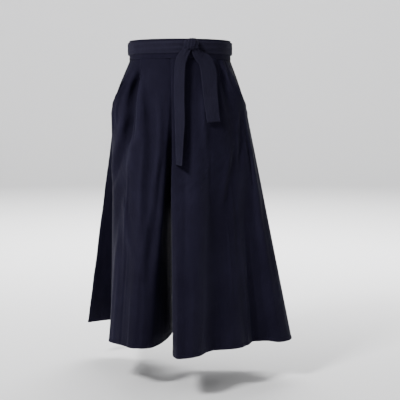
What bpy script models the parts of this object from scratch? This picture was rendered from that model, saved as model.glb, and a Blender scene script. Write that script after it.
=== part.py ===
"""Wide hakama-style trousers with a tie belt, as worn, with nobody in them.

Every piece of cloth is a wall. Its middle surface is a grid whose columns are named fold lines
that run from the waist seam to the hem, and a Solidify modifier gives it its thickness.
Metres, +Z up. The front faces -Y, and the wearer's left leg is on the +X side. The origin is
the middle of the waist, where the wearer holds the garment up.
"""

import math
from collections import namedtuple

import bmesh
import bpy
from mathutils import Vector

MM = 0.001
COLLECTION = "hakama_trousers"

# Cloth
WALL = 0.0014
BAND_WALL = 0.0030
SEAM_GAP = 0.0003

# Heights
BAND_TOP = 0.035
BAND_FOOT = -0.025
WAIST_Z = BAND_FOOT - SEAM_GAP
TUCK_Z = -0.085            # the centre pleat is pressed flat down to here
HIP_Z = -0.205
CROTCH_Z = -0.435
HEM_Z = -0.926

# Ovals of the waist and of the cloth at the hip: half width, and depth to the front and back
Oval = namedtuple("Oval", "half_width front back")
WAIST = Oval(0.160, 0.115, 0.115)
HIP = Oval(0.217, 0.137, 0.155)
WAIST_SPREAD = 1.25        # how fast a fold line leaves the waist, against a straight one

# Side heights of a panel's rows, closest at the waist, where the pleats and gathers are
ROW_Z = (WAIST_Z, -0.038, -0.050, -0.064, -0.085, -0.120, -0.160, HIP_Z, -0.262, -0.322, -0.382,
         CROTCH_Z, -0.505, -0.590, -0.690, -0.805, HEM_Z)

# A fold line, from the waist seam to the hem. Angles are in degrees round the oval, from the
# centre front towards the panel's own side; lifts and the hem's x and y are in millimetres, as
# is sweep, by which the line swings towards the back between the waist and the hip.
Line = namedtuple("Line", "name waist lift bow hip stand hem_x hem_y sweep", defaults=(0,))
# A line on the part that turns in between the legs: its share of the way from the seam
Wall = namedtuple("Wall", "name share waist lift swell")
# A point of the rise, the curved seam between the legs, in millimetres, and the side height of
# the row that reaches it
Rise = namedtuple("Rise", "row_z x y z")
# A leg: its side, where its inseam ends at the hem (mm), and its four tables
Leg = namedtuple("Leg", "side inseam_x inseam_y front_walls front back_walls back")

FRONT_RISE = (
    Rise(-25.3, -8, -112.0, -25.3),
    Rise(-75, -9, -117.8, -75),
    Rise(-120, -10, -122.4, -120),
    Rise(-205, -13, -124, -205),
    Rise(-262, -17, -116, -258),
    Rise(-322, -21, -94, -316),
    Rise(-382, -26, -54, -384),
    Rise(-435, -30, 0, -435),
)
BACK_RISE = (
    Rise(-25.3, 0, 115, -25.3),
    Rise(-75, -1, 132, -75),
    Rise(-120, -2, 143, -120),
    Rise(-205, -6, 151, -205),
    Rise(-262, -11, 144, -258),
    Rise(-322, -17, 118, -320),
    Rise(-382, -24, 68, -392),
    Rise(-435, -30, 0, -435),
)

RIGHT_LEG = Leg(
    side=-1, inseam_x=-36, inseam_y=25,
    front_walls=(
        Wall("under_crease", 0.30, 6.0, -3.0, 6),
        Wall("wall_front", 0.68, 9.5, -2.7, 9),
    ),
    front=(
        Line("inner_fold", 13.0, -1.2, -1.5, 9, -1, -90, -134),
        Line("front_a", 22.0, 0.0, 0, 17, 1, -118, -145),
        Line("front_b", 33.0, 0.3, 0, 26, 2, -152, -138),
        Line("pleat_top", 47.0, 3.0, 2.2, 34, 5, -172, -119),
        Line("pleat_edge", 48.1, 1.5, 2.2, 37, 6, -188, -101),
        Line("pleat_under", 47.0, 0.0, 1.2, 40, 4, -200, -86),
        Line("pleat_back", 43.6, 0.0, -1.2, 43, 0, -209, -72),
        Line("pleat_turn", 42.5, -1.5, -2.2, 46, -4, -217, -57),
        Line("pleat_floor", 43.6, -3.0, -2.2, 50, -5, -224, -40),
        Line("side_fold", 52.0, -0.8, 0, 63, 0, -231, -16, -18),
        Line("side_a", 57.0, 0.0, 1, 73, 3, -229, 26, -34),
        Line("side_b", 61.0, 0.3, 3, 83, 3, -219, 90, -48),
        Line("side_seam", 63.5, 0.5, 4, 89.5, 0, -224, 160, -60),
    ),
    back_walls=(
        Wall("wall_back_a", 0.33, 177.3, 0.0, 3),
        Wall("wall_back_b", 0.67, 174.7, 0.0, 4),
    ),
    back=(
        Line("seat_fold", 172, 0, 0, 171, -4, -24, 192),
        Line("back_a", 160, 0, 0, 159, 0, -94, 266),
        Line("back_ridge_a", 149, 0, 0, 148, 3, -134, 316),
        Line("back_valley_a", 138, 0, 0, 138, -2, -176, 296),
        Line("back_ridge_b", 127, 0, 0, 127, 3, -224, 338),
        Line("back_b", 116, 0, 0, 117, 0, -286, 320),
        Line("flare_back", 108, 0, 0, 109, 3, -325, 276),
        Line("flare_edge", 102, 0, 0, 103, 4, -330, 238),
        Line("flare_front", 97, 0, 0, 98, 1, -290, 262),
        Line("side_valley", 94, 0, 0, 94, -2, -240, 282),
        Line("side_seam", 90, 0, 0, 90, 0, -224, 160),
    ),
)

LEFT_LEG = Leg(
    side=1, inseam_x=-14, inseam_y=-25,
    front_walls=(
        Wall("turn", 0.20, -1.6, -1.5, -2),
        Wall("under_layer", 0.50, -2.9, 0.0, -4),
        Wall("under_end", 0.80, -7.4, 0.0, -3),
    ),
    front=(
        Line("crease", -9.0, 1.5, 0.6, -6, 4, -17, -248),
        Line("crease_top", -7.4, 3.0, 2.6, -2.5, 4, -5, -272),
        Line("front_a", 6.0, 1.0, 0, 6, 2, 22, -265),
        Line("front_b", 18.0, 0.0, 0, 15, 0, 55, -228),
        Line("front_c", 31.0, 0.3, 0, 25, 1, 102, -175),
        Line("pleat_top", 45.0, 3.0, 2.2, 34, 4, 148, -156),
        Line("pleat_edge", 46.1, 1.5, 2.2, 37.5, 4, 170, -148),
        Line("pleat_under", 45.0, 0.0, 1.2, 41, 2, 187, -135),
        Line("pleat_back", 41.6, 0.0, -1.2, 44, 0, 201, -118),
        Line("pleat_turn", 40.5, -1.5, -2.2, 47, -3, 214, -97),
        Line("pleat_floor", 41.6, -3.0, -2.2, 51, -4, 228, -71),
        Line("valley", 49.0, -1.0, 0, 60, -1, 248, -45, -12),
        Line("side_a", 54.0, 0.0, 0, 68, 1, 281, -41, -26),
        Line("side_b", 59.0, 0.2, 2, 77, 2, 322, -58, -40),
        Line("side_c", 61.5, 0.4, 3, 84, 0, 346, -41, -50),
        Line("side_seam", 63.5, 0.5, 4, 89.5, 0, 364, 0, -58),
    ),
    back_walls=(
        Wall("wall_back_a", 0.33, 177.3, 0.0, 2),
        Wall("wall_back_b", 0.67, 174.7, 0.0, 2),
    ),
    back=(
        Line("seat_fold", 172, 0, 0, 171, -4, -8, 108),
        Line("back_a", 160, 0, 0, 159, 0, 42, 156),
        Line("back_ridge_a", 149, 0, 0, 148, 3, 98, 172),
        Line("back_valley_a", 138, 0, 0, 138, -2, 150, 144),
        Line("back_ridge_b", 127, 0, 0, 127, 2, 205, 168),
        Line("back_b", 116, 0, 0, 117, 0, 262, 142),
        Line("back_valley_b", 106, 0, 0, 108, -1, 305, 92),
        Line("side_ridge", 97, 0, 0, 98, 0, 345, 60),
        Line("side_seam", 90, 0, 0, 90, 0, 364, 0),
    ),
)

FRONT_COLUMNS = 2         # grid columns between two fold lines
BACK_COLUMNS = 4

# Gathers of the elastic back
GATHER_COLUMNS = 4        # grid columns of one gather
GATHER_DEPTH = 0.0040
GATHER_LENGTH = 0.110
BAND_WAVE = 0.0024
FLAT_BAND_COLUMNS = 36

# Pocket facings, from the edge that lies hidden behind the front to the one behind the side seam
FACING_LINES = (
    Line("hidden_edge", 50.0, -4.2, -0.5, 60, -8, 0, 0),
    Line("hidden_middle", 60.0, -3.6, -1, 71, -7, 0, 0),
    Line("mouth_middle", 72.0, -2.2, 0, 80, -4.5, 0, 0),
    Line("mouth_end", 83.0, -2.2, 0, 86.0, -3.4, 0, 0),
    Line("side_edge", 90.5, -2.3, 0, 90.5, -2.8, 0, 0),
)
FACING_HIDDEN_Z = -0.236
FACING_SIDE_Z = -0.218
FACING_ROWS = 8
FACING_COLUMNS = 2

# Belt
BELT_HALF = 0.019
BELT_Z = 0.010
BELT_FRONT_LIFT = 0.0026
BELT_BACK_LIFT = 0.0051
BELT_BACK_FROM = 70.0      # degrees where the belt starts to rise over the gathered band
BELT_BACK_AT = 90.0
BELT_COLUMNS = 64
BELT_START = 18.0         # degrees round the waist, from the centre front to the left
BELT_END = 372.0
KNOT_CENTRE = Vector((0.037, -0.1278, 0.018))
KNOT_HALF = Vector((0.023, 0.0100, 0.0160))
KNOT_WAIST = 0.86         # the knot's height at its ends, as a share of that in its middle
KNOT_BEVEL = 0.005

# A station of a belt tail: the middle of the strip across and up (mm), how far the strip stands
# off the cloth behind it (mm), its width (mm), how far its +X edge is turned to the front
# (degrees) and how much its middle bows to the front (mm)
Station = namedtuple("Station", "x z clear width turn bow")
LONG_TAIL = (
    Station(21, -4, 9, 25, 8, 2),
    Station(16, -13, 8, 29, 12, 2),
    Station(9, -26, 7, 34, 17, 3),
    Station(4, -44, 5.5, 36, 23, 3),
    Station(2, -80, 3.5, 37, 30, 3),
    Station(1, -145, 2.5, 38, 34, 2),
    Station(3, -210, 2.5, 38, 37, 1),
    Station(2, -280, 2.5, 38, 50, 1),
    Station(1, -351, 2.5, 38, 62, 1),
)
SHORT_TAIL = (
    Station(52, -4, 10, 24, -4, 2),
    Station(54, -9, 10, 28, -6, 2),
    Station(63, -19, 8, 36, -8, 3),
    Station(80, -34, 6, 46, -10, 3),
    Station(90, -62, 4, 50, -10, 2),
    Station(95, -120, 2.5, 46, -8, 1),
    Station(100, -170, 2.5, 43, -6, 1),
    Station(106, -221, 2.5, 41, -4, 1),
)
TAIL_ROWS = 2             # grid rows between two stations
TAIL_STEP = 0.01          # share of a tail's length over which its direction is taken
TAIL_COLUMNS = 4


def smooth(share):
    """Ease a share of 0 to 1 in and out."""
    share = min(max(share, 0.0), 1.0)
    return share * share * (3.0 - 2.0 * share)


def curve_point(before, start, end, after, share):
    """Point between start and end on the centripetal curve through four points."""
    t0 = 0.0
    t1 = t0 + max(math.sqrt((start - before).length), 1e-6)
    t2 = t1 + max(math.sqrt((end - start).length), 1e-6)
    t3 = t2 + max(math.sqrt((after - end).length), 1e-6)
    t = t1 + share * (t2 - t1)
    a = before.lerp(start, (t - t0) / (t1 - t0))
    b = start.lerp(end, (t - t1) / (t2 - t1))
    c = end.lerp(after, (t - t2) / (t3 - t2))
    d = a.lerp(b, (t - t0) / (t2 - t0))
    e = b.lerp(c, (t - t1) / (t3 - t1))
    return d.lerp(e, (t - t1) / (t2 - t1))


def curve_along(points, share):
    """Point at a share of the whole length, by count of spans, of a curve through points."""
    spans = len(points) - 1
    place = min(max(share, 0.0), 1.0) * spans
    index = min(int(place), spans - 1)
    start, end = points[index], points[index + 1]
    before = points[index - 1] if index > 0 else start + (start - end)
    after = points[index + 2] if index + 2 < len(points) else end + (end - start)
    return curve_point(before, start, end, after, place - index)


def oval_point(oval, side, degrees, lift, z):
    """Point of an oval at an angle from the centre front, moved out by lift."""
    angle = math.radians(degrees)
    depth = oval.front if degrees < 90.0 else oval.back
    point = Vector((side * oval.half_width * math.sin(angle), -depth * math.cos(angle), z))
    out = Vector((side * math.sin(angle) / oval.half_width, -math.cos(angle) / depth, 0.0))
    return point + out.normalized() * lift


def line_point(leg, line, z):
    """Point of a fold line at a height: curved over the hip, then straight to the hem."""
    waist = oval_point(WAIST, leg.side, line.waist, line.lift * MM, WAIST_Z)
    hip = oval_point(HIP, leg.side, line.hip, line.stand * MM, HIP_Z)
    hem = Vector((line.hem_x * MM, line.hem_y * MM, HEM_Z))
    if z <= HIP_Z:
        return hip.lerp(hem, (z - HIP_Z) / (HEM_Z - HIP_Z))
    share = (z - WAIST_Z) / (HIP_Z - WAIST_Z)
    leave = (hip - waist) * WAIST_SPREAD
    arrive = (hem - hip) * ((HIP_Z - WAIST_Z) / (HEM_Z - HIP_Z))
    point = (waist * (2 * share ** 3 - 3 * share ** 2 + 1)
             + leave * (share ** 3 - 2 * share ** 2 + share)
             + hip * (3 * share ** 2 - 2 * share ** 3)
             + arrive * (share ** 3 - share ** 2))
    out = Vector((point.x, point.y, 0.0)).normalized()
    back = Vector((-out.y, out.x, 0.0)) * leg.side
    swell = math.sin(math.pi * share)
    point += (out * line.bow * swell + back * line.sweep * swell ** 2) * MM
    point.z = z
    return point


def rise_point(rise, z):
    """Point of the rise that the row of side height z reaches."""
    points = [Vector((row.x, row.y, row.z)) * MM for row in rise]
    heights = [row.row_z * MM for row in rise]
    index = 0
    while index < len(rise) - 2 and z < heights[index + 1]:
        index += 1
    share = (z - heights[index]) / (heights[index + 1] - heights[index])
    return curve_along(points, (index + share) / (len(points) - 1))


def seam_point(leg, rise, toward_back, z):
    """Point of a panel's inner edge: along the rise to the crotch, then down the inseam."""
    if z >= CROTCH_Z:
        point = rise_point(rise, z)
    else:
        inseam = Vector((leg.inseam_x * MM, leg.inseam_y * MM, HEM_Z))
        point = rise_point(rise, CROTCH_Z).lerp(inseam, (z - CROTCH_Z) / (HEM_Z - CROTCH_Z))
    point.x += leg.side * SEAM_GAP / 2
    point.y += toward_back * SEAM_GAP / 2
    return point


def wall_point(leg, wall, seam, first, z):
    """Point of a line between the seam and the panel's first fold line."""
    corner = line_point(leg, first, z)
    corner_top = line_point(leg, first, WAIST_Z)
    tucked = oval_point(WAIST, leg.side, wall.waist, wall.lift * MM, WAIST_Z) + corner - corner_top
    free = seam.lerp(corner, wall.share)
    free.x += wall.swell * MM * min(max((z - HIP_Z) / (HEM_Z - HIP_Z), 0.0), 1.0)
    return tucked.lerp(free, smooth((z - TUCK_Z) / (HIP_Z - TUCK_Z)))


def panel_lines(leg, part, z):
    """Points of a panel's lines at one row, from its inner edge to its side edge."""
    if part == "front":
        walls, lines, rise, toward_back = leg.front_walls, leg.front, FRONT_RISE, -1
    else:
        walls, lines, rise, toward_back = leg.back_walls, leg.back, BACK_RISE, 1
    seam = seam_point(leg, rise, toward_back, z)
    points = [seam]
    points += [wall_point(leg, wall, seam, lines[0], z) for wall in walls]
    points += [line_point(leg, line, z) for line in lines]
    return points


def panel_rows(leg, part, columns):
    """Grid rows of a panel, each a smooth curve through its lines, less half a gap at its side."""
    other = "back" if part == "front" else "front"
    rows = []
    for z in ROW_Z:
        points = panel_lines(leg, part, z)
        beyond = panel_lines(leg, other, z)
        sewn_inside = z <= CROTCH_Z
        sewn_side = z < HIP_Z
        before = beyond[1] if sewn_inside else points[0] * 2 - points[1]
        after = beyond[-2] if sewn_side else points[-1] * 2 - points[-2]
        chain = [before] + points + [after]
        row = []
        for index in range(len(points) - 1):
            for step in range(columns):
                row.append(curve_point(*chain[index:index + 4], step / columns))
        inset = SEAM_GAP / 2 / (points[-1] - points[-2]).length
        row.append(curve_point(*chain[-4:], 1.0 - inset))
        rows.append(row)
    return rows


def gather(rows):
    """Ripple the top of a back panel, fading out below the waist and flat at its edges."""
    last = len(rows[0]) - 1
    count = last / GATHER_COLUMNS
    for row, z in zip(rows, ROW_Z):
        fade = 1.0 - smooth((WAIST_Z - z) / GATHER_LENGTH)
        for index, point in enumerate(row):
            flat_ends = min(1.0, index / GATHER_COLUMNS, (last - index) / GATHER_COLUMNS)
            trough = math.sin(math.pi * count * index / last) ** 2 * flat_ends
            out = Vector((point.x, point.y, 0.0)).normalized()
            row[index] = point - out * trough * GATHER_DEPTH * fade
    return rows


def part_rise(right_rows, left_rows):
    """Part two panels' edges along the rise by as much as their walls turn towards each other."""
    for right, left, z in zip(right_rows, left_rows, ROW_Z):
        if z >= CROTCH_Z:
            leaves_right = (right[1] - right[0]).normalized()
            leaves_left = (left[1] - left[0]).normalized()
            apart = (leaves_right - leaves_left).normalized()
            reach = (leaves_right + leaves_left).length / 2 * WALL / 2
            right[0] += apart * reach
            left[0] -= apart * reach


def facing_rows(leg):
    """Grid rows of a pocket facing, from its hidden edge to behind the side seam."""
    side = leg.back[-1]
    lines = [line._replace(hem_x=side.hem_x, hem_y=side.hem_y) for line in FACING_LINES]
    spans = len(lines) - 1
    rows = []
    for number in range(FACING_ROWS + 1):
        points = []
        for index, line in enumerate(lines):
            foot = FACING_HIDDEN_Z + (FACING_SIDE_Z - FACING_HIDDEN_Z) * smooth(index / spans)
            z = WAIST_Z + (foot - WAIST_Z) * number / FACING_ROWS
            points.append(line_point(leg, line, z))
        columns = spans * FACING_COLUMNS
        rows.append([curve_along(points, step / columns) for step in range(columns + 1)])
    return rows


def band_rows(start, end, columns, wave_count, wave_depth):
    """Grid rows of a waistband, between two angles from the centre front."""
    rows = []
    for z in (BAND_FOOT, (BAND_FOOT + BAND_TOP) / 2, BAND_TOP):
        row = []
        for step in range(columns + 1):
            share = step / columns
            degrees = start + (end - start) * share
            side = 1 if degrees >= 0 else -1
            flat_ends = min(1.0, wave_count * share, wave_count * (1.0 - share))
            wave = math.sin(math.pi * wave_count * share) ** 2 * wave_depth * flat_ends
            row.append(oval_point(WAIST, side, abs(degrees), wave, z))
        rows.append(row)
    return rows


def belt_rows():
    """Grid rows of the belt's stretch round the waist, open where the knot is."""
    rows = []
    for z in (BELT_Z - BELT_HALF, BELT_Z, BELT_Z + BELT_HALF):
        row = []
        for step in range(BELT_COLUMNS + 1):
            degrees = BELT_START + (BELT_END - BELT_START) * step / BELT_COLUMNS
            side, angle = (1, degrees) if degrees <= 180.0 else (-1, 360.0 - degrees)
            if angle < 0.0:
                side, angle = 1, -angle
            back = smooth((angle - BELT_BACK_FROM) / (BELT_BACK_AT - BELT_BACK_FROM))
            lift = BELT_FRONT_LIFT + (BELT_BACK_LIFT - BELT_FRONT_LIFT) * back
            row.append(oval_point(WAIST, side, angle, lift, z))
        rows.append(row)
    return rows


def cloth_depth(x, z):
    """How far to the front the left front panel lies at a place across and up."""
    points = [line_point(LEFT_LEG, line, min(z, WAIST_Z)) for line in LEFT_LEG.front]
    ahead = [index for index in range(len(points) - 1)
             if points[index].x <= x <= points[index + 1].x]
    depths = [points[0].y]
    for index in ahead:
        near, far = points[index], points[index + 1]
        depths.append(near.y + (far.y - near.y) * (x - near.x) / (far.x - near.x))
    return min(depths[1:] or depths)


def tail_rows(stations):
    """Grid rows of a belt tail, a strip that turns as it hangs in front of the cloth."""
    places = [Vector((s.x, 0.0, s.z)) * MM for s in stations]
    shapes = [Vector((s.width * MM, math.radians(s.turn), s.bow * MM)) for s in stations]
    clears = [Vector((s.clear * MM, 0.0, 0.0)) for s in stations]
    count = (len(stations) - 1) * TAIL_ROWS
    rows = []
    for number in range(count + 1):
        share = number / count
        width, turn, bow = curve_along(shapes, share)
        down = curve_along(places, share + TAIL_STEP) - curve_along(places, share - TAIL_STEP)
        down.normalize()
        flat = Vector((math.cos(turn), -math.sin(turn), 0.0))
        across = (flat - down * flat.dot(down)).normalized()
        front = down.cross(across)
        row = []
        for step in range(TAIL_COLUMNS + 1):
            reach = step / TAIL_COLUMNS * 2 - 1
            offset = across * reach * width / 2 + front * bow * (1 - reach * reach)
            row.append(curve_along(places, share) + offset)
        stand = min(cloth_depth(point.x, point.z) - point.y for point in row)
        stand -= curve_along(clears, share).x
        rows.append([point + Vector((0.0, stand, 0.0)) for point in row])
    return rows


def material(name, colour, roughness):
    """Plain cloth material."""
    finish = bpy.data.materials.new(name)
    finish.use_nodes = True
    shader = finish.node_tree.nodes["Principled BSDF"]
    shader.inputs["Base Color"].default_value = (*colour, 1.0)
    shader.inputs["Roughness"].default_value = roughness
    shader.inputs["Metallic"].default_value = 0.0
    return finish


def add_object(name, mesh, finish, collection):
    """Put a mesh in the scene as a named piece."""
    mesh.materials.append(finish)
    mesh.shade_smooth()
    piece = bpy.data.objects.new(name, mesh)
    collection.objects.link(piece)
    return piece


def cloth(name, rows, thickness, finish, collection, out_from):
    """Wall of cloth whose middle surface is a grid of points, its faces turned outwards."""
    shape = bmesh.new()
    grid = [[shape.verts.new(point) for point in row] for row in rows]
    for upper, lower in zip(grid, grid[1:]):
        for column in range(len(upper) - 1):
            shape.faces.new((upper[column], upper[column + 1],
                             lower[column + 1], lower[column]))
    shape.normal_update()
    middle = grid[0][len(grid[0]) // 2]
    if middle.link_faces[0].normal.dot(middle.co - out_from) < 0:
        bmesh.ops.reverse_faces(shape, faces=shape.faces)
    mesh = bpy.data.meshes.new(name)
    shape.to_mesh(mesh)
    shape.free()
    piece = add_object(name, mesh, finish, collection)
    wall = piece.modifiers.new("wall", "SOLIDIFY")
    wall.thickness = thickness
    wall.offset = 0.0
    wall.use_rim = True
    return piece


def knot(finish, collection):
    """Belt knot: a soft lozenge, lower at its ends than in its middle."""
    shape = bmesh.new()
    bmesh.ops.create_cube(shape, size=2.0)
    bmesh.ops.subdivide_edges(shape, edges=shape.edges, cuts=1, use_grid_fill=True)
    for vertex in shape.verts:
        end = abs(vertex.co.x)
        height = 1.0 - (1.0 - KNOT_WAIST) * end
        vertex.co = Vector((vertex.co.x * KNOT_HALF.x, vertex.co.y * KNOT_HALF.y,
                            vertex.co.z * KNOT_HALF.z * height)) + KNOT_CENTRE
    mesh = bpy.data.meshes.new("belt_knot")
    shape.to_mesh(mesh)
    shape.free()
    piece = add_object("belt_knot", mesh, finish, collection)
    soft = piece.modifiers.new("soft", "BEVEL")
    soft.width = KNOT_BEVEL
    soft.segments = 2
    soft.limit_method = "ANGLE"
    return piece


def build():
    """Model every piece of the trousers."""
    for piece in list(bpy.data.objects):
        bpy.data.objects.remove(piece)
    collection = bpy.data.collections.new(COLLECTION)
    bpy.context.scene.collection.children.link(collection)
    navy = material("navy_cloth", (0.012, 0.0115, 0.022), 0.85)
    belt_navy = material("belt_cloth", (0.016, 0.015, 0.027), 0.80)
    axis = Vector((0.0, 0.0, WAIST_Z))

    legs = (RIGHT_LEG, LEFT_LEG)
    fronts = [panel_rows(leg, "front", FRONT_COLUMNS) for leg in legs]
    backs = [gather(panel_rows(leg, "back", BACK_COLUMNS)) for leg in legs]
    part_rise(*fronts)
    part_rise(*backs)
    for leg, name, front, back in zip(legs, ("right", "left"), fronts, backs):
        cloth(f"front_{name}", front, WALL, navy, collection, axis)
        cloth(f"back_{name}", back, WALL, navy, collection, axis)
        cloth(f"pocket_facing_{name}", facing_rows(leg), WALL, navy, collection, axis)

    seam_angle = math.degrees(SEAM_GAP / 2 / WAIST.front)
    flat_band = band_rows(-90 + seam_angle, 90 - seam_angle, FLAT_BAND_COLUMNS, 0, 0.0)
    cloth("waistband_front", flat_band, BAND_WALL, navy, collection, axis)
    waves = sum(len(leg.back_walls) + len(leg.back) for leg in legs)
    gathered_band = band_rows(90 + seam_angle, 270 - seam_angle, waves * GATHER_COLUMNS,
                              waves, BAND_WAVE)
    cloth("waistband_back", gathered_band, BAND_WALL, navy, collection, axis)
    cloth("belt_band", belt_rows(), WALL, belt_navy, collection, axis)
    knot(belt_navy, collection)
    cloth("belt_tail_long", tail_rows(LONG_TAIL), WALL, belt_navy, collection, axis)
    cloth("belt_tail_short", tail_rows(SHORT_TAIL), WALL, belt_navy, collection, axis)


build()
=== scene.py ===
"""Looks of a pair of wide hakama-style trousers with a lapped centre pleat and a cloth belt.

The frame gives the solids. Every panel is made again here as a thin shell on the same fold lines,
with the creases, seams, stitches and gathers of worn cloth. Metres, +Z up, front to -Y.
"""
import logging  # noqa: E402
import math  # noqa: E402
from dataclasses import dataclass, field  # noqa: E402
from enum import Enum  # noqa: E402
from typing import NamedTuple, Sequence  # noqa: E402

import bmesh  # noqa: E402
import bpy  # noqa: E402
import numpy as np  # noqa: E402
from mathutils import Matrix, Vector  # noqa: E402


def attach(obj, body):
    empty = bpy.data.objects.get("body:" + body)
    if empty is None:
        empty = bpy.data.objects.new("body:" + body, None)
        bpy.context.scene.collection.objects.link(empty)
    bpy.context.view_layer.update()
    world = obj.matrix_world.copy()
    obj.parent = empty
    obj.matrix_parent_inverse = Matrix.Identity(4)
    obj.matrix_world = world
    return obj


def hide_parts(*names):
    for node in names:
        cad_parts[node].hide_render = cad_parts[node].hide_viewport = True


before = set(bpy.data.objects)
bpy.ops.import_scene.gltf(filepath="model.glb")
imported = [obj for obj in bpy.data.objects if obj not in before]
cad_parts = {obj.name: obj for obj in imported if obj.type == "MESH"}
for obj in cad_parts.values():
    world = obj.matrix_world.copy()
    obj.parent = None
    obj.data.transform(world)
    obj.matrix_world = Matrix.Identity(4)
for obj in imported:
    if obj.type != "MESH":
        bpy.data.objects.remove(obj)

LOG = logging.getLogger("hakama")
MM = 0.001
BODY = "root"
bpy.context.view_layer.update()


# ---------------------------------------------------------------------------
# Pattern: the fold lines, as they are in the solids
# ---------------------------------------------------------------------------

class Side(Enum):
    """Which of the wearer's legs a panel belongs to; the value points along X."""

    RIGHT = -1
    LEFT = 1


class Part(Enum):
    """Whether a panel is the front or the back of its leg; the value points along Y."""

    FRONT = -1
    BACK = 1


class Edge(Enum):
    """Edge of a piece of cloth: its inner one or its side one; the value is its column."""

    INNER = 0
    SIDE = -1


class Oval(NamedTuple):
    """Section of the body: half width, and depth to the front and to the back, in metres."""

    half_width: float
    front: float
    back: float


class Line(NamedTuple):
    """Fold line: angles round the ovals in degrees, distances in millimetres."""

    name: str
    waist: float
    lift: float
    bow: float
    hip: float
    stand: float
    hem_x: float
    hem_y: float
    sweep: float = 0.0


class Wall(NamedTuple):
    """Line on the part of a panel that turns in between the legs."""

    name: str
    share: float
    waist: float
    lift: float
    swell: float


class Rise(NamedTuple):
    """Point of the seam between the legs (mm) and the side height of the row that reaches it."""

    row_z: float
    x: float
    y: float
    z: float


class Fold(NamedTuple):
    """Soft ridge (depth above 0) or trough: line numbers, heights, width and depth in mm.

    Lean, from -1 to 1, makes it steeper on the inner or the side edge's flank.
    """

    line: float
    top: float
    end_line: float
    foot: float
    width: float
    depth: float
    lean: float = 0.0


class LapColumn(NamedTuple):
    """Column of a lapped edge: reach and depth at the seam, and what passing under adds (m)."""

    reach: float
    depth: float
    reach_under: float
    depth_under: float


class Relief(NamedTuple):
    """Relief along a line of stitches (m): its groove, its puckers, and the wear of the edge."""

    groove: float
    groove_width: float
    pucker: float
    pucker_width: float
    worn: float
    worn_width: float


WAIST_Z = -0.0253
TUCK_Z = -0.085
HIP_Z = -0.205
CROTCH_Z = -0.435
HEM_Z = -0.926
BAND_TOP = 0.035
BAND_FOOT = -0.025
SEAM_GAP = 0.0003
WAIST = Oval(0.160, 0.115, 0.115)
HIP = Oval(0.217, 0.137, 0.155)
WAIST_SPREAD = 1.25

# Rows of the allowance inside the waistband (depth, rise), and columns of a lapped edge
ALLOWANCE = ((0.0028, 0.0115), (0.0027, 0.0040), (0.0017, 0.0009))
LAP = (LapColumn(0.0001, 0.0006, 0.0007, 0.0004), LapColumn(0.0002, 0.0011, 0.0050, 0.0007))
LAP_TOP = HIP_Z - 0.02

# Stitches: distance from the seam, length over which their puckers start, and lift over the
# middle of the cloth as a share of its thickness
SEAM_INSET = 0.006
SEAM_START = 0.02
THREAD_LIFT = 0.6

FRONT_RISE = (
    Rise(-25.3, -8, -112.0, -25.3),
    Rise(-75, -9, -117.8, -75),
    Rise(-120, -10, -122.4, -120),
    Rise(-205, -13, -124, -205),
    Rise(-262, -17, -116, -258),
    Rise(-322, -21, -94, -316),
    Rise(-382, -26, -54, -384),
    Rise(-435, -30, 0, -435),
)
BACK_RISE = (
    Rise(-25.3, 0, 115, -25.3),
    Rise(-75, -1, 132, -75),
    Rise(-120, -2, 143, -120),
    Rise(-205, -6, 151, -205),
    Rise(-262, -11, 144, -258),
    Rise(-322, -17, 118, -320),
    Rise(-382, -24, 68, -392),
    Rise(-435, -30, 0, -435),
)

RIGHT_FRONT_WALLS = (
    Wall("under_crease", 0.30, 6.0, -3.0, 6),
    Wall("wall_front", 0.68, 9.5, -2.7, 9),
)
RIGHT_FRONT = (
    Line("inner_fold", 13.0, -1.2, -1.5, 9, -1, -90, -134),
    Line("front_a", 22.0, 0.0, 0, 17, 1, -118, -145),
    Line("front_b", 33.0, 0.3, 0, 26, 2, -152, -138),
    Line("pleat_top", 47.0, 3.0, 2.2, 34, 5, -172, -119),
    Line("pleat_edge", 48.1, 1.5, 2.2, 37, 6, -188, -101),
    Line("pleat_under", 47.0, 0.0, 1.2, 40, 4, -200, -86),
    Line("pleat_back", 43.6, 0.0, -1.2, 43, 0, -209, -72),
    Line("pleat_turn", 42.5, -1.5, -2.2, 46, -4, -217, -57),
    Line("pleat_floor", 43.6, -3.0, -2.2, 50, -5, -224, -40),
    Line("side_fold", 52.0, -0.8, 0, 63, 0, -231, -16, -18),
    Line("side_a", 57.0, 0.0, 1, 73, 3, -229, 26, -34),
    Line("side_b", 61.0, 0.3, 3, 83, 3, -219, 90, -48),
    Line("side_seam", 63.5, 0.5, 4, 89.5, 0, -224, 160, -60),
)
RIGHT_BACK_WALLS = (
    Wall("wall_back_a", 0.33, 177.3, 0.0, 3),
    Wall("wall_back_b", 0.67, 174.7, 0.0, 4),
)
RIGHT_BACK = (
    Line("seat_fold", 172, 0, 0, 171, -4, -24, 192),
    Line("back_a", 160, 0, 0, 159, 0, -94, 266),
    Line("back_ridge_a", 149, 0, 0, 148, 3, -134, 316),
    Line("back_valley_a", 138, 0, 0, 138, -2, -176, 296),
    Line("back_ridge_b", 127, 0, 0, 127, 3, -224, 338),
    Line("back_b", 116, 0, 0, 117, 0, -286, 320),
    Line("flare_back", 108, 0, 0, 109, 3, -325, 276),
    Line("flare_edge", 102, 0, 0, 103, 4, -330, 238),
    Line("flare_front", 97, 0, 0, 98, 1, -290, 262),
    Line("side_valley", 94, 0, 0, 94, -2, -240, 282),
    Line("side_seam", 90, 0, 0, 90, 0, -224, 160),
)
LEFT_FRONT_WALLS = (
    Wall("turn", 0.20, -1.6, -1.5, -2),
    Wall("under_layer", 0.50, -2.9, 0.0, -4),
    Wall("under_end", 0.80, -7.4, 0.0, -3),
)
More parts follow.
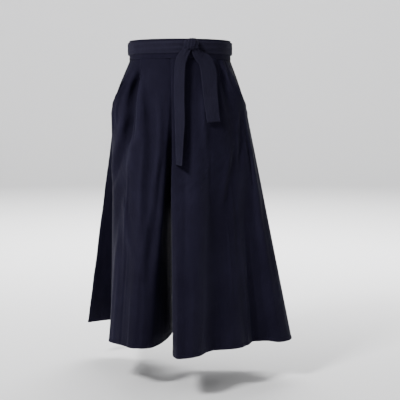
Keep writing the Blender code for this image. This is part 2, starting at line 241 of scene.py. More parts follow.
LEFT_FRONT = (
    Line("crease", -9.0, 1.5, 0.6, -6, 4, -17, -248),
    Line("crease_top", -7.4, 3.0, 2.6, -2.5, 4, -5, -272),
    Line("front_a", 6.0, 1.0, 0, 6, 2, 22, -265),
    Line("front_b", 18.0, 0.0, 0, 15, 0, 55, -228),
    Line("front_c", 31.0, 0.3, 0, 25, 1, 102, -175),
    Line("pleat_top", 45.0, 3.0, 2.2, 34, 4, 148, -156),
    Line("pleat_edge", 46.1, 1.5, 2.2, 37.5, 4, 170, -148),
    Line("pleat_under", 45.0, 0.0, 1.2, 41, 2, 187, -135),
    Line("pleat_back", 41.6, 0.0, -1.2, 44, 0, 201, -118),
    Line("pleat_turn", 40.5, -1.5, -2.2, 47, -3, 214, -97),
    Line("pleat_floor", 41.6, -3.0, -2.2, 51, -4, 228, -71),
    Line("valley", 49.0, -1.0, 0, 60, -1, 248, -45, -12),
    Line("side_a", 54.0, 0.0, 0, 68, 1, 281, -41, -26),
    Line("side_b", 59.0, 0.2, 2, 77, 2, 322, -58, -40),
    Line("side_c", 61.5, 0.4, 3, 84, 0, 346, -41, -50),
    Line("side_seam", 63.5, 0.5, 4, 89.5, 0, 364, 0, -58),
)
LEFT_BACK_WALLS = (
    Wall("wall_back_a", 0.33, 177.3, 0.0, 2),
    Wall("wall_back_b", 0.67, 174.7, 0.0, 2),
)
LEFT_BACK = (
    Line("seat_fold", 172, 0, 0, 171, -4, -8, 108),
    Line("back_a", 160, 0, 0, 159, 0, 42, 156),
    Line("back_ridge_a", 149, 0, 0, 148, 3, 98, 172),
    Line("back_valley_a", 138, 0, 0, 138, -2, 150, 144),
    Line("back_ridge_b", 127, 0, 0, 127, 2, 205, 168),
    Line("back_b", 116, 0, 0, 117, 0, 262, 142),
    Line("back_valley_b", 106, 0, 0, 108, -1, 305, 92),
    Line("side_ridge", 97, 0, 0, 98, 0, 345, 60),
    Line("side_seam", 90, 0, 0, 90, 0, 364, 0),
)

# Creases of each panel, by line number from its inner edge (walls first)
RIGHT_FRONT_FOLDS = (
    Fold(5.9, -45, 6.1, -300, 7, 8, -0.3),
    Fold(6.0, -240, 9.0, -410, 16, 5),
    Fold(10.7, -42, 9.8, -310, 17, -17, -0.3),
    Fold(10.1, -185, 12.7, -445, 17, -12),
    Fold(5.0, -95, 4.1, -640, 13, -9),
    Fold(4.0, -140, 3.6, -450, 9, 3),
    Fold(10.2, -435, 5.5, -655, 14, 3.5, 0.3),
    Fold(3.2, -300, 4.1, -780, 11, -8),
    Fold(6.8, -430, 6.2, -990, 18, -4),
    Fold(10.7, -450, 10.4, -990, 20, 9),
    Fold(12.7, -150, 12.0, -245, 4, 3),
    Fold(13.2, -175, 12.6, -265, 3.5, -3),
    Fold(8.6, -330, 8.0, -720, 5, 1.6),
    Fold(7.4, -560, 7.2, -940, 4, -1.5),
    Fold(5.4, -290, 5.1, -560, 5, 1.6),
    Fold(4.5, -620, 4.4, -930, 5, -2.0),
    Fold(9.4, -640, 9.2, -990, 5, 1.5),
    Fold(5.6, -700, 5.5, -990, 4, 1.6),
)
LEFT_FRONT_FOLDS = (
    Fold(6.9, -90, 6.9, -990, 31, 14),
    Fold(9.8, -240, 9.6, -880, 34, -10),
    Fold(15.6, -165, 14.2, -400, 10, -6, 0.3),
    Fold(14.3, -280, 9.6, -520, 17, -7, 0.3),
    Fold(15.9, -170, 16.5, -470, 4, -4),
    Fold(14.6, -470, 14.6, -990, 13, -7, -0.3),
    Fold(11.4, -640, 11.4, -990, 16, 3),
    Fold(7.6, -110, 7.5, -330, 10, 4),
    Fold(16.9, -230, 16.4, -700, 10, 3),
    Fold(8.9, -640, 8.2, -990, 14, -3),
    Fold(17.6, -420, 17.4, -990, 12, -2.5),
    Fold(15.0, -20, 14.6, -110, 4, -3),
    Fold(16.1, -20, 15.6, -125, 4, 2.5),
    Fold(17.2, -20, 16.6, -95, 3.5, -2.5),
    Fold(5.8, -360, 5.9, -700, 6, -1.7),
    Fold(6.4, -600, 6.4, -960, 5, 1.5),
    Fold(8.1, -290, 8.0, -560, 6, -1.7),
    Fold(8.3, -700, 8.4, -990, 5, 1.7),
    Fold(10.4, -520, 10.3, -900, 5, 1.6),
    Fold(12.6, -380, 12.2, -700, 6, -1.9),
    Fold(13.2, -640, 13.2, -990, 5, 1.7),
    Fold(16.0, -560, 16.1, -990, 5, -1.6),
)
RIGHT_BACK_FOLDS = (
    Fold(3.5, -150, 3.6, -600, 18, 4),
    Fold(5.2, -200, 5.1, -940, 20, -4),
    Fold(4.6, -90, 4.4, -420, 11, -3),
    Fold(7.4, -180, 7.3, -700, 16, -4),
    Fold(8.3, -110, 8.6, -430, 12, 3),
    Fold(6.4, -120, 6.5, -330, 12, 3),
)
LEFT_BACK_FOLDS = (
    Fold(3.4, -140, 3.3, -560, 17, 4),
    Fold(4.9, -180, 5.0, -940, 20, -4),
    Fold(6.6, -110, 6.4, -480, 13, 3),
    Fold(7.6, -220, 7.8, -800, 18, -4),
    Fold(9.0, -150, 9.2, -500, 14, 3),
    Fold(4.2, -90, 4.4, -300, 10, -2.5),
)


@dataclass(frozen=True)
class Leg:
    """One leg: its side, where its inseam ends at the hem (mm), and its lines."""

    side: Side
    inseam_x: float
    inseam_y: float
    front_walls: Sequence[Wall]
    front: Sequence[Line]
    back_walls: Sequence[Wall]
    back: Sequence[Line]


RIGHT_LEG = Leg(Side.RIGHT, -36, 25, RIGHT_FRONT_WALLS, RIGHT_FRONT, RIGHT_BACK_WALLS, RIGHT_BACK)
LEFT_LEG = Leg(Side.LEFT, -14, -25, LEFT_FRONT_WALLS, LEFT_FRONT, LEFT_BACK_WALLS, LEFT_BACK)


def smooth(share: np.ndarray) -> np.ndarray:
    """Ease shares of 0 to 1 in and out."""
    share = np.clip(share, 0.0, 1.0)
    return share * share * (3.0 - 2.0 * share)


def hump(place: np.ndarray, middle: float, width: float) -> np.ndarray:
    """Rounded hump of height 1 round a middle, which falls away over a width."""
    return np.exp(-((place - middle) / width) ** 2)


def unit(vectors: np.ndarray) -> np.ndarray:
    """Vectors of length 1."""
    return vectors / np.maximum(np.linalg.norm(vectors, axis=-1, keepdims=True), 1e-9)


def curve_points(chain: Sequence[np.ndarray], shares: np.ndarray) -> np.ndarray:
    """Points of centripetal curves through four points, between the middle two.

    Args:
        chain: four arrays of points, each with a row for each curve.
        shares: places along the middle span, from 0 to 1.

    Returns:
        An array of curves by shares by three coordinates.
    """
    def step(a: np.ndarray, b: np.ndarray) -> np.ndarray:
        """Knot distance between two points."""
        return np.maximum(np.sqrt(np.linalg.norm(b - a, axis=-1)), 1e-6)[:, None, None]

    t1 = step(chain[0], chain[1])
    t2 = t1 + step(chain[1], chain[2])
    t3 = t2 + step(chain[2], chain[3])
    t = t1 + shares[None, :, None] * (t2 - t1)
    before, start, end, after = (points[:, None, :] for points in chain)
    a = before + (start - before) * t / t1
    b = start + (end - start) * (t - t1) / (t2 - t1)
    c = end + (after - end) * (t - t2) / (t3 - t2)
    d = a + (b - a) * t / t2
    e = b + (c - b) * (t - t1) / (t3 - t1)
    return d + (e - d) * (t - t1) / (t2 - t1)


def curve_at(points: np.ndarray, place: float) -> np.ndarray:
    """Point of one curve through many points.

    Args:
        points: the points that it passes, one a row.
        place: where on the curve, counted in spans from its first point.

    Returns:
        The three numbers there.
    """
    last = len(points) - 2
    index = min(max(int(place), 0), last)
    start, end = points[index], points[index + 1]
    before = points[index - 1] if index > 0 else 2 * start - end
    after = points[index + 2] if index < last else 2 * end - start
    chain = [p[None, :] for p in (before, start, end, after)]
    return curve_points(chain, np.array([place - index]))[0, 0]


def oval_points(oval: Oval, side: float, degrees: float, lift: float, z: np.ndarray) -> np.ndarray:
    """Points over an oval of the body, one above the other.

    Args:
        oval: the body's section.
        side: 1 for the wearer's left and -1 for the right.
        degrees: angle from the centre front.
        lift: distance out of the oval, in metres.
        z: height of each point.

    Returns:
        A point for each height.
    """
    angle = math.radians(degrees)
    depth = oval.front if degrees < 90.0 else oval.back
    x = side * oval.half_width * math.sin(angle)
    y = -depth * math.cos(angle)
    out = Vector((side * math.sin(angle) / oval.half_width, -math.cos(angle) / depth)).normalized()
    z = np.atleast_1d(z)
    return np.stack([np.full_like(z, x + out.x * lift), np.full_like(z, y + out.y * lift), z], -1)


def line_points(leg: Leg, line: Line, z: np.ndarray) -> np.ndarray:
    """Points of a fold line, curved over the hip and then straight to the hem.

    Args:
        leg: the leg that it runs down.
        line: the fold line.
        z: height of each point.

    Returns:
        A point for each height.
    """
    side = leg.side.value
    waist = oval_points(WAIST, side, line.waist, line.lift * MM, np.array([WAIST_Z]))[0]
    hip = oval_points(HIP, side, line.hip, line.stand * MM, np.array([HIP_Z]))[0]
    hem = np.array([line.hem_x * MM, line.hem_y * MM, HEM_Z])
    below = ((z - HIP_Z) / (HEM_Z - HIP_Z))[:, None]
    s = np.clip((z - WAIST_Z) / (HIP_Z - WAIST_Z), 0.0, 1.0)[:, None]
    leave = (hip - waist) * WAIST_SPREAD
    arrive = (hem - hip) * ((HIP_Z - WAIST_Z) / (HEM_Z - HIP_Z))
    above = (waist * (2 * s ** 3 - 3 * s ** 2 + 1) + leave * (s ** 3 - 2 * s ** 2 + s)
             + hip * (3 * s ** 2 - 2 * s ** 3) + arrive * (s ** 3 - s ** 2))
    out = unit(above * np.array([1.0, 1.0, 0.0]))
    back = np.stack([-out[:, 1], out[:, 0], out[:, 2]], axis=-1) * side
    swell = np.sin(math.pi * s)
    above = above + (out * line.bow * swell + back * line.sweep * swell ** 2) * MM
    points = np.where(below >= 0.0, hip + (hem - hip) * below, above)
    points[:, 2] = z
    return points


def seam_points(leg: Leg, part: Part, z: np.ndarray) -> np.ndarray:
    """Points of a panel's inner edge, along the rise to the crotch and then down the inseam.

    Args:
        leg: the panel's leg.
        part: whether the panel is the front or the back.
        z: side height of each row.

    Returns:
        A point for each row.
    """
    rise = FRONT_RISE if part is Part.FRONT else BACK_RISE
    places = np.array([[row.x, row.y, row.z] for row in rise]) * MM
    heights = [row.row_z * MM for row in rise]
    spans = np.interp(-z, [-h for h in heights], range(len(rise)))
    points = np.array([curve_at(places, span) for span in spans])
    inseam = np.array([leg.inseam_x * MM, leg.inseam_y * MM, HEM_Z])
    share = np.clip((z - CROTCH_Z) / (HEM_Z - CROTCH_Z), 0.0, 1.0)[:, None]
    points = np.where(share > 0.0, places[-1] + (inseam - places[-1]) * share, points)
    points[:, 0] += leg.side.value * SEAM_GAP / 2
    points[:, 1] += part.value * SEAM_GAP / 2
    return points


def panel_lines(leg: Leg, part: Part, z: np.ndarray) -> list[np.ndarray]:
    """Points of every line of a panel.

    Args:
        leg: the panel's leg.
        part: whether the panel is the front or the back.
        z: side height of each row.

    Returns:
        An array of points for each line, from the inner edge to the side edge.
    """
    walls, lines = ((leg.front_walls, leg.front) if part is Part.FRONT
                    else (leg.back_walls, leg.back))
    seam = seam_points(leg, part, z)
    corner = line_points(leg, lines[0], z)
    corner_top = line_points(leg, lines[0], np.array([WAIST_Z]))
    loose = smooth((z - TUCK_Z) / (HIP_Z - TUCK_Z))[:, None]
    swell = np.clip((z - HIP_Z) / (HEM_Z - HIP_Z), 0.0, 1.0)
    points = [seam]
    for wall in walls:
        tucked = oval_points(WAIST, leg.side.value, wall.waist, wall.lift * MM,
                             np.array([WAIST_Z])) + corner - corner_top
        free = seam + (corner - seam) * wall.share
        free[:, 0] += wall.swell * MM * swell
        points.append(tucked + (free - tucked) * loose)
    return points + [line_points(leg, line, z) for line in lines]


# ---------------------------------------------------------------------------
# Shader maths and finishes
# ---------------------------------------------------------------------------

class Shade:
    """A shader socket whose operators add Math nodes to its tree."""

    def __init__(self, tree: bpy.types.NodeTree, socket: bpy.types.NodeSocket) -> None:
        """Wrap a socket of a tree."""
        self.tree = tree
        self.socket = socket

    def _math(self, operation: str, *values: "Shade | float") -> "Shade":
        """Add a Math node.

        Args:
            operation: what it works out.
            values: what it works on.

        Returns:
            Its output.
        """
        node = self.tree.nodes.new("ShaderNodeMath")
        node.operation = operation
        for entry, value in zip(node.inputs, values):
            if isinstance(value, Shade):
                self.tree.links.new(value.socket, entry)
            else:
                entry.default_value = value
        return Shade(self.tree, node.outputs[0])

    def __add__(self, other: "Shade | float") -> "Shade":
        """Sum."""
        return self._math("ADD", self, other)

    __radd__ = __add__

    def __sub__(self, other: "Shade | float") -> "Shade":
        """Difference."""
        return self._math("SUBTRACT", self, other)

    def __rsub__(self, other: float) -> "Shade":
        """Difference from a number."""
        return self._math("SUBTRACT", other, self)

    def __mul__(self, other: "Shade | float") -> "Shade":
        """Product."""
        return self._math("MULTIPLY", self, other)

    __rmul__ = __mul__

    def sine(self) -> "Shade":
        """Sine."""
        return self._math("SINE", self)

    def at_least(self, low: float) -> "Shade":
        """The larger of the value and a number."""
        return self._math("MAXIMUM", self, low)


class Finish:
    """A material under construction, with one method for every node."""

    def __init__(self, name: str, **shader: object) -> None:
        """Start a material.

        Args:
            name: its name.
            shader: constant sockets of its shader, with _ for a space.
        """
        self.material = bpy.data.materials.new(name)
        self.material.use_nodes = True
        self.tree = self.material.node_tree
        self.shader = self.tree.nodes["Principled BSDF"]
        for key, value in shader.items():
            self.shader.inputs[key.replace("_", " ")].default_value = value

    def node(self, kind: str, output: str | int = 0, settings: dict | None = None,
             **inputs: object) -> Shade:
        """Add a node.

        Args:
            kind: the node's type, without its ShaderNode prefix.
            output: which of its outputs to return.
            settings: properties that are set before the sockets.
            inputs: values or links of its sockets, with _ for a space.

        Returns:
            The output, wrapped.
        """
        node = self.tree.nodes.new("ShaderNode" + kind)
        for key, value in (settings or {}).items():
            setattr(node, key, value)
        for key, value in inputs.items():
            names = (key, key.replace("_", " "))
            sockets = [s for s in node.inputs if s.enabled and (s.identifier in names
                                                                or s.name in names)]
            if isinstance(value, Shade):
                self.tree.links.new(value.socket, sockets[0])
            else:
                sockets[0].default_value = value
        return Shade(self.tree, node.outputs[output])

    def drive(self, socket: str, value: Shade) -> None:
        """Link a value to a socket of the shader."""
        self.tree.links.new(value.socket, self.shader.inputs[socket])

    def axes(self, vector: Shade) -> tuple[Shade, Shade, Shade]:
        """Split a vector into its three numbers."""
        outputs = self.node("SeparateXYZ", Vector=vector).socket.node.outputs
        return tuple(Shade(self.tree, outputs[index]) for index in range(3))

    def stretched(self, vector: Shade, across: float, down: float) -> Shade:
        """Scale a UV vector across and down."""
        return self.node("VectorMath", settings={"operation": "MULTIPLY"}, Vector=vector,
                         Vector_001=(across, down, 1.0))

    def tint(self, share: Shade, low: Sequence[float], high: Sequence[float]) -> Shade:
        """Mix two colours by a share."""
        return self.node("Mix", output=2, settings={"data_type": "RGBA"}, Factor=share,
                         A=(*low, 1.0), B=(*high, 1.0))


@dataclass(frozen=True)
class Cloth:
    """Woven cloth.

    Attributes:
        name: the material's name.
        deep: colour of the cloth where it is neither rubbed nor painted lighter, which its hollows
            keep.
        worn: colour that its rubbed places and the painted highlights on its crests go towards.
        threads: threads a metre.
        slant: how far a rib moves across for each thread down.
        roughness: roughness where it isn't worn.
        sheen: weight of its sheen.
        weave_depth: height of its threads in metres.
        rumple_depth: height of its crumples in metres.
        slub: cells a metre of the unevenness of its threads.
        warp: cells a metre across and down of the streaks along its threads.
        crush: cells a metre across and down of its crumples.
        cloud: cells a metre of the unevenness of its dye.
        tone: share of the worn colour in plain cloth.
        wear_and_highlight_tone: share of the worn colour that full rubbing and full painted
            highlight add.
    """

    name: str
    deep: tuple[float, float, float]
    worn: tuple[float, float, float]
    threads: float
    slant: float
    roughness: float
    sheen: float
    weave_depth: float = 0.00025
    rumple_depth: float = 0.0035
    slub: float = 420.0
    warp: tuple[float, float] = (520.0, 26.0)
    crush: tuple[float, float] = (46.0, 30.0)
    cloud: float = 7.0
    tone: float = 0.12
    wear_and_highlight_tone: float = 0.5

    def make(self) -> bpy.types.Material:
        """Build the material, which follows the piece's own UV map, in metres.

        Returns:
            The material.
        """
        finish = Finish(self.name, Roughness=self.roughness, Sheen_Weight=self.sheen,
                        Sheen_Roughness=0.5, Sheen_Tint=(0.50, 0.50, 0.80, 1.0),
                        Specular_IOR_Level=0.06)
        chart = finish.node("UVMap", settings={"uv_map": "cloth"})
        across, down, _ = finish.axes(chart)
        turn = math.tau * self.threads
        rib = (across * turn + down * (turn * self.slant)).sine() * 0.5 + 0.5
        weft = (down * turn).sine() * 0.5 + 0.5
        slub = finish.node("TexNoise", Vector=chart, Scale=self.slub, Detail=3.0, Roughness=0.7)
        warp = finish.node("TexNoise", Vector=finish.stretched(chart, *self.warp), Scale=1.0,
                           Detail=3.0, Roughness=0.6)
        crush = finish.node("TexNoise", Vector=finish.stretched(chart, *self.crush), Scale=1.0,
                            Detail=4.0, Roughness=0.55, Distortion=0.6)
        cloud = finish.node("TexNoise", Vector=chart, Scale=self.cloud, Detail=4.0,
                            Roughness=0.6)
        # How rubbed each point is, with the painted highlight on its crests, as the piece stores
        # it
        wear_and_highlight_fac = finish.node("Attribute", output="Fac", settings={"attribute_name": "wear_and_highlight"})
        # The worn colour's share: dye, slubs, streaks and ribs round the plain tone, and the
        # rubbed places and painted highlights on crests that the piece carries
        share = ((cloud - 0.5) * 0.8 + (slub - 0.5) * 0.55 + (warp - 0.5) * 0.55
                 + (rib - 0.5) * 0.16 + wear_and_highlight_fac * self.wear_and_highlight_tone + self.tone)
        finish.drive("Base Color", finish.tint(share.at_least(0.0), self.deep, self.worn))
        finish.drive("Roughness", self.roughness - 0.03 + (slub - 0.5) * 0.25 - wear_and_highlight_fac * 0.08)
        weave = finish.node("Bump", Height=rib * 0.6 + weft * 0.4 + (slub - 0.5) * 1.2
                            + (warp - 0.5) * 0.8, Strength=0.7, Distance=self.weave_depth)
        rumple = finish.node("Bump", Height=crush, Strength=0.5, Distance=self.rumple_depth,
                             Normal=weave)
        finish.drive("Normal", rumple)
        return finish.material


@dataclass(frozen=True)
class Thread:
    """Sewing thread: its colour, and its stitches' length, pitch and radius in metres."""

    name: str
    colour: tuple[float, float, float]
    length: float = 0.0027
    pitch: float = 0.0037
    radius: float = 0.00032
    ply: float = 900.0

    def make(self) -> bpy.types.Material:
        """Build the material, with a fine twist along each stitch.

        Returns:
            The material.
        """
        finish = Finish(self.name, Roughness=0.7, Sheen_Weight=0.03, Specular_IOR_Level=0.1)
        place = finish.node("TexCoord", output="Object")
        ply = finish.node("TexNoise", Vector=place, Scale=self.ply, Detail=1.0)
        deep = tuple(part * 0.75 for part in self.colour)
        finish.drive("Base Color", finish.tint(ply, deep, self.colour))
        return finish.material


@dataclass(frozen=True)
class Ground:
    """Pale studio floor that curves up far away."""

    name: str = "pale_floor"
    colour: tuple[float, float, float] = (0.86, 0.86, 0.87)
    glow: float = 0.06
    cloud: float = 0.8

    def make(self) -> bpy.types.Material:
        """Build the material, with a faint cloudiness.

        Returns:
            The material.
        """
        finish = Finish(self.name, Roughness=0.9, Specular_IOR_Level=0.1,
                        Emission_Color=(1.0, 1.0, 1.0, 1.0), Emission_Strength=self.glow)
        place = finish.node("TexCoord", output="Object")
        cloud = finish.node("TexNoise", Vector=place, Scale=self.cloud, Detail=2.0)
        low = tuple(part * 0.985 for part in self.colour)
        finish.drive("Base Color", finish.tint(cloud, low, self.colour))
        return finish.material


# Each cloth's second colour is what its rubbed places and the painted highlights on its crests go
# towards
NAVY = Cloth("navy_twill", (0.0046, 0.0038, 0.0108), (0.0150, 0.0134, 0.0300),
             threads=1500.0, slant=1.0, roughness=0.80, sheen=0.03)
BELT_NAVY = Cloth("belt_cloth", (0.0064, 0.0056, 0.0130), (0.0185, 0.0172, 0.0340),
                  threads=1800.0, slant=0.0, roughness=0.75, sheen=0.04)
SEWING = Thread("navy_thread", (0.014, 0.013, 0.026))


# ---------------------------------------------------------------------------
# Mesh objects, cloth surfaces and stitches
# ---------------------------------------------------------------------------

def placed(name: str, data: bpy.types.ID) -> bpy.types.Object:
    """Link a new object with its data to the scene."""
    thing = bpy.data.objects.new(name, data)
    bpy.context.scene.collection.objects.link(thing)
    return thing


def meshed(name: str, shape: bmesh.types.BMesh, finish: bpy.types.Material) -> bpy.types.Object:
    """Make a shape a smooth mesh object.

    Args:
        name: the object's name.
        shape: the shape, which is freed.
        finish: its material.

    Returns:
        The object.
    """
    mesh = bpy.data.meshes.new(name)
    shape.to_mesh(mesh)
    shape.free()
    mesh.materials.append(finish)
    mesh.shade_smooth()
    return placed(name, mesh)


def thicken(piece: bpy.types.Object, wall: float) -> None:
    """Give a sheet its thickness, half of it to each side, with a live modifier.

    Args:
        piece: the sheet.
        wall: its thickness in metres.
    """
    thick = piece.modifiers.new("wall", "SOLIDIFY")
    thick.thickness = wall
    thick.offset = 0.0


@dataclass
class Surface:
    """A grid of points of one piece of cloth, rows down and columns across.

    Attributes:
        points: rows by columns by three coordinates.
        outward: 1 or -1, which turns the grid's own normal outwards.
        wear_and_highlight: how worn each point is, with the painted highlight on its crests, from
            0 to 1.
    """

    points: np.ndarray
    outward: float
    wear_and_highlight: np.ndarray | None = None

    def __post_init__(self) -> None:
        """Start unworn and without painted highlight."""
        if self.wear_and_highlight is None:
            self.wear_and_highlight = np.zeros(self.points.shape[:2])

    def across(self) -> np.ndarray:
        """Length along each row from its first point."""
        steps = np.linalg.norm(np.diff(self.points, axis=1), axis=-1)
        return np.concatenate([np.zeros((len(steps), 1)), np.cumsum(steps, axis=1)], axis=1)

    def down(self) -> np.ndarray:
        """Length down each column from its first point."""
        steps = np.linalg.norm(np.diff(self.points, axis=0), axis=-1)
        return np.concatenate([np.zeros((1, steps.shape[1])), np.cumsum(steps, axis=0)], axis=0)

    def off(self, edge: Edge) -> np.ndarray:
        """Length along each row from an edge."""
        across = self.across()
        return across[:, -1:] - across if edge is Edge.SIDE else across

    def up(self) -> np.ndarray:
        """Length up each column from its last point."""
        down = self.down()
        return down[-1:, :] - down

    def normals(self) -> np.ndarray:
        """Outward normals of the points."""
        over = np.gradient(self.points, axis=1)
        along = np.gradient(self.points, axis=0)
        return unit(np.cross(over, along)) * self.outward

    def push(self, amount: np.ndarray) -> None:
        """Move the points out along their normals."""
        self.points = self.points + self.normals() * amount[..., None]

    def with_allowance(self) -> "Surface":
        """Copy the surface with its seam allowance, which stands up behind the waistband.

        Returns:
            The taller surface.
        """
        top = self.points[0]
        inward = -unit(top * (1.0, 1.0, 0.0))
        rows = np.array([top + inward * depth + (0.0, 0.0, rise)
                         for depth, rise in ALLOWANCE])
        return Surface(np.concatenate([rows, self.points]), self.outward,
                       np.concatenate([np.zeros(rows.shape[:2]), self.wear_and_highlight]))

    def with_lap(self, edge: Edge, under: np.ndarray) -> "Surface":
        """Copy the surface with an allowance along one edge, which passes under the next piece.

        Args:
            edge: the edge that gets it.
            under: 1 for each row where it passes under, and 0 where it stops at the seam.

        Returns:
            The wider surface.
        """
        near = 1 if edge is Edge.INNER else -2
        rim = self.points[:, edge.value]
        away = unit(rim - self.points[:, near])
        inward = -self.normals()[:, edge.value]
        under = under[:, None]
        columns = [rim + away * (column.reach_under * under + column.reach)
                   + inward * (column.depth_under * under + column.depth) for column in LAP]
        parts = [self.points, np.stack(columns, axis=1)]
        wear_and_highlight = [self.wear_and_highlight, np.zeros(parts[1].shape[:2])]
        if edge is Edge.INNER:
            parts = [parts[1][:, ::-1], parts[0]]
            wear_and_highlight = wear_and_highlight[::-1]
        return Surface(np.concatenate(parts, axis=1), self.outward,
                       np.concatenate(wear_and_highlight, axis=1))

    def piece(self, name: str, finish: bpy.types.Material, wall: float) -> bpy.types.Object:
        """Make the cloth a mesh object with a live thickness, a UV map in metres, and how worn
        each point is with the painted highlight on its crests.

        Args:
            name: the object's name.
            finish: its material.
            wall: thickness of the cloth in metres.

        Returns:
            The object.
        """
        rows, columns = self.points.shape[:2]
        shape = bmesh.new()
        bmesh.ops.create_grid(shape, x_segments=columns - 1, y_segments=rows - 1, size=1.0)
        for vertex, place in zip(shape.verts, self.points.reshape(-1, 3)):
            vertex.co = place
        if self.outward > 0:
            bmesh.ops.reverse_faces(shape, faces=shape.faces)
        shape.normal_update()
        piece = meshed(name, shape, finish)
        mesh = piece.data
        charts = np.stack([self.across(), self.down()], axis=-1).reshape(-1, 2)
        corners = np.empty(len(mesh.loops), dtype=np.int32)
        mesh.loops.foreach_get("vertex_index", corners)
        layer = mesh.uv_layers.new(name="cloth")
        layer.data.foreach_set("uv", charts[corners].astype(np.float32).ravel())
        # Store how rubbed each point is, with the painted highlight on its crests, for the
        # material
        worn = mesh.attributes.new("wear_and_highlight", "FLOAT", "POINT")
        worn.data.foreach_set("value", np.clip(self.wear_and_highlight, 0, 1).astype(np.float32).ravel())
        thicken(piece, wall)
        return piece

    def stand_for(self, node: str, slot: str, finish: bpy.types.Material, wall: float,
                  **cut: object) -> None:
        """Make the cloth a piece in the place of a solid, whose name it takes.

        Args:
            node: the solid.
            slot: not used.
            finish: its material.
            wall: thickness of the cloth in metres.
            cut: the sheet's flat size, how it is held and what it rests on; only how it is held is
                read, for the log.
        """
        piece = self.piece(f"{node}_cloth", finish, wall)
        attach(piece, BODY)
        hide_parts(node)
        LOG.info("%s: %d x %d points, %s", piece.name, *self.points.shape[:2], cut["held"])


class Sewing:
    """Collects runs of stitches and makes them one piece."""

    def __init__(self, name: str, thread: Thread) -> None:
        """Start an empty piece of thread.

        Args:
            name: its name.
            thread: the thread that is sewn with.
        """
        self.name = name
        self.thread = thread
        self.shape = bmesh.new()
        self.count = 0

    def run(self, path: np.ndarray, normals: np.ndarray, pitch: float | None = None,
            length: float | None = None) -> None:
        """Sew along a path.

        Args:
            path: points on the cloth's outer face.
            normals: outward normals at those points.
            pitch: distance from stitch to stitch; the thread's own where left out.
            length: length of a stitch; the thread's own where left out.
        """
        pitch = pitch or self.thread.pitch
        length = length or self.thread.length
        steps = np.linalg.norm(np.diff(path, axis=0), axis=-1)
        along = np.concatenate([[0.0], np.cumsum(steps)])

        def at(rows: np.ndarray, place: float) -> np.ndarray:
            """Value of the rows at a length along the path."""
            return np.array([np.interp(place, along, rows[:, axis]) for axis in range(3)])

        for place in np.arange(pitch / 2, along[-1], pitch):
            middle = at(path, place)
            tangent = Vector(at(path, place + length / 2) - middle)
            if tangent.length < 1e-7:
                continue
            tangent.normalize()
            out = Vector(at(normals, place))
            out = (out - tangent * out.dot(tangent)).normalized()
            turn = Matrix((tangent, out.cross(tangent), out)).transposed().to_4x4()
            size = Matrix.Diagonal((length / 2, self.thread.radius, self.thread.radius, 1.0))
            put = Matrix.Translation(Vector(middle)) @ turn @ size
            bmesh.ops.create_icosphere(self.shape, subdivisions=1, radius=1.0, matrix=put)
            self.count += 1

    def make(self, finish: bpy.types.Material) -> None:
        """Make the stitches a piece that rides with the garment.

        Args:
            finish: the thread's material.
        """
        piece = meshed(self.name, self.shape, finish)
        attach(piece, BODY)
        LOG.info("%s: %d stitches", self.name, self.count)


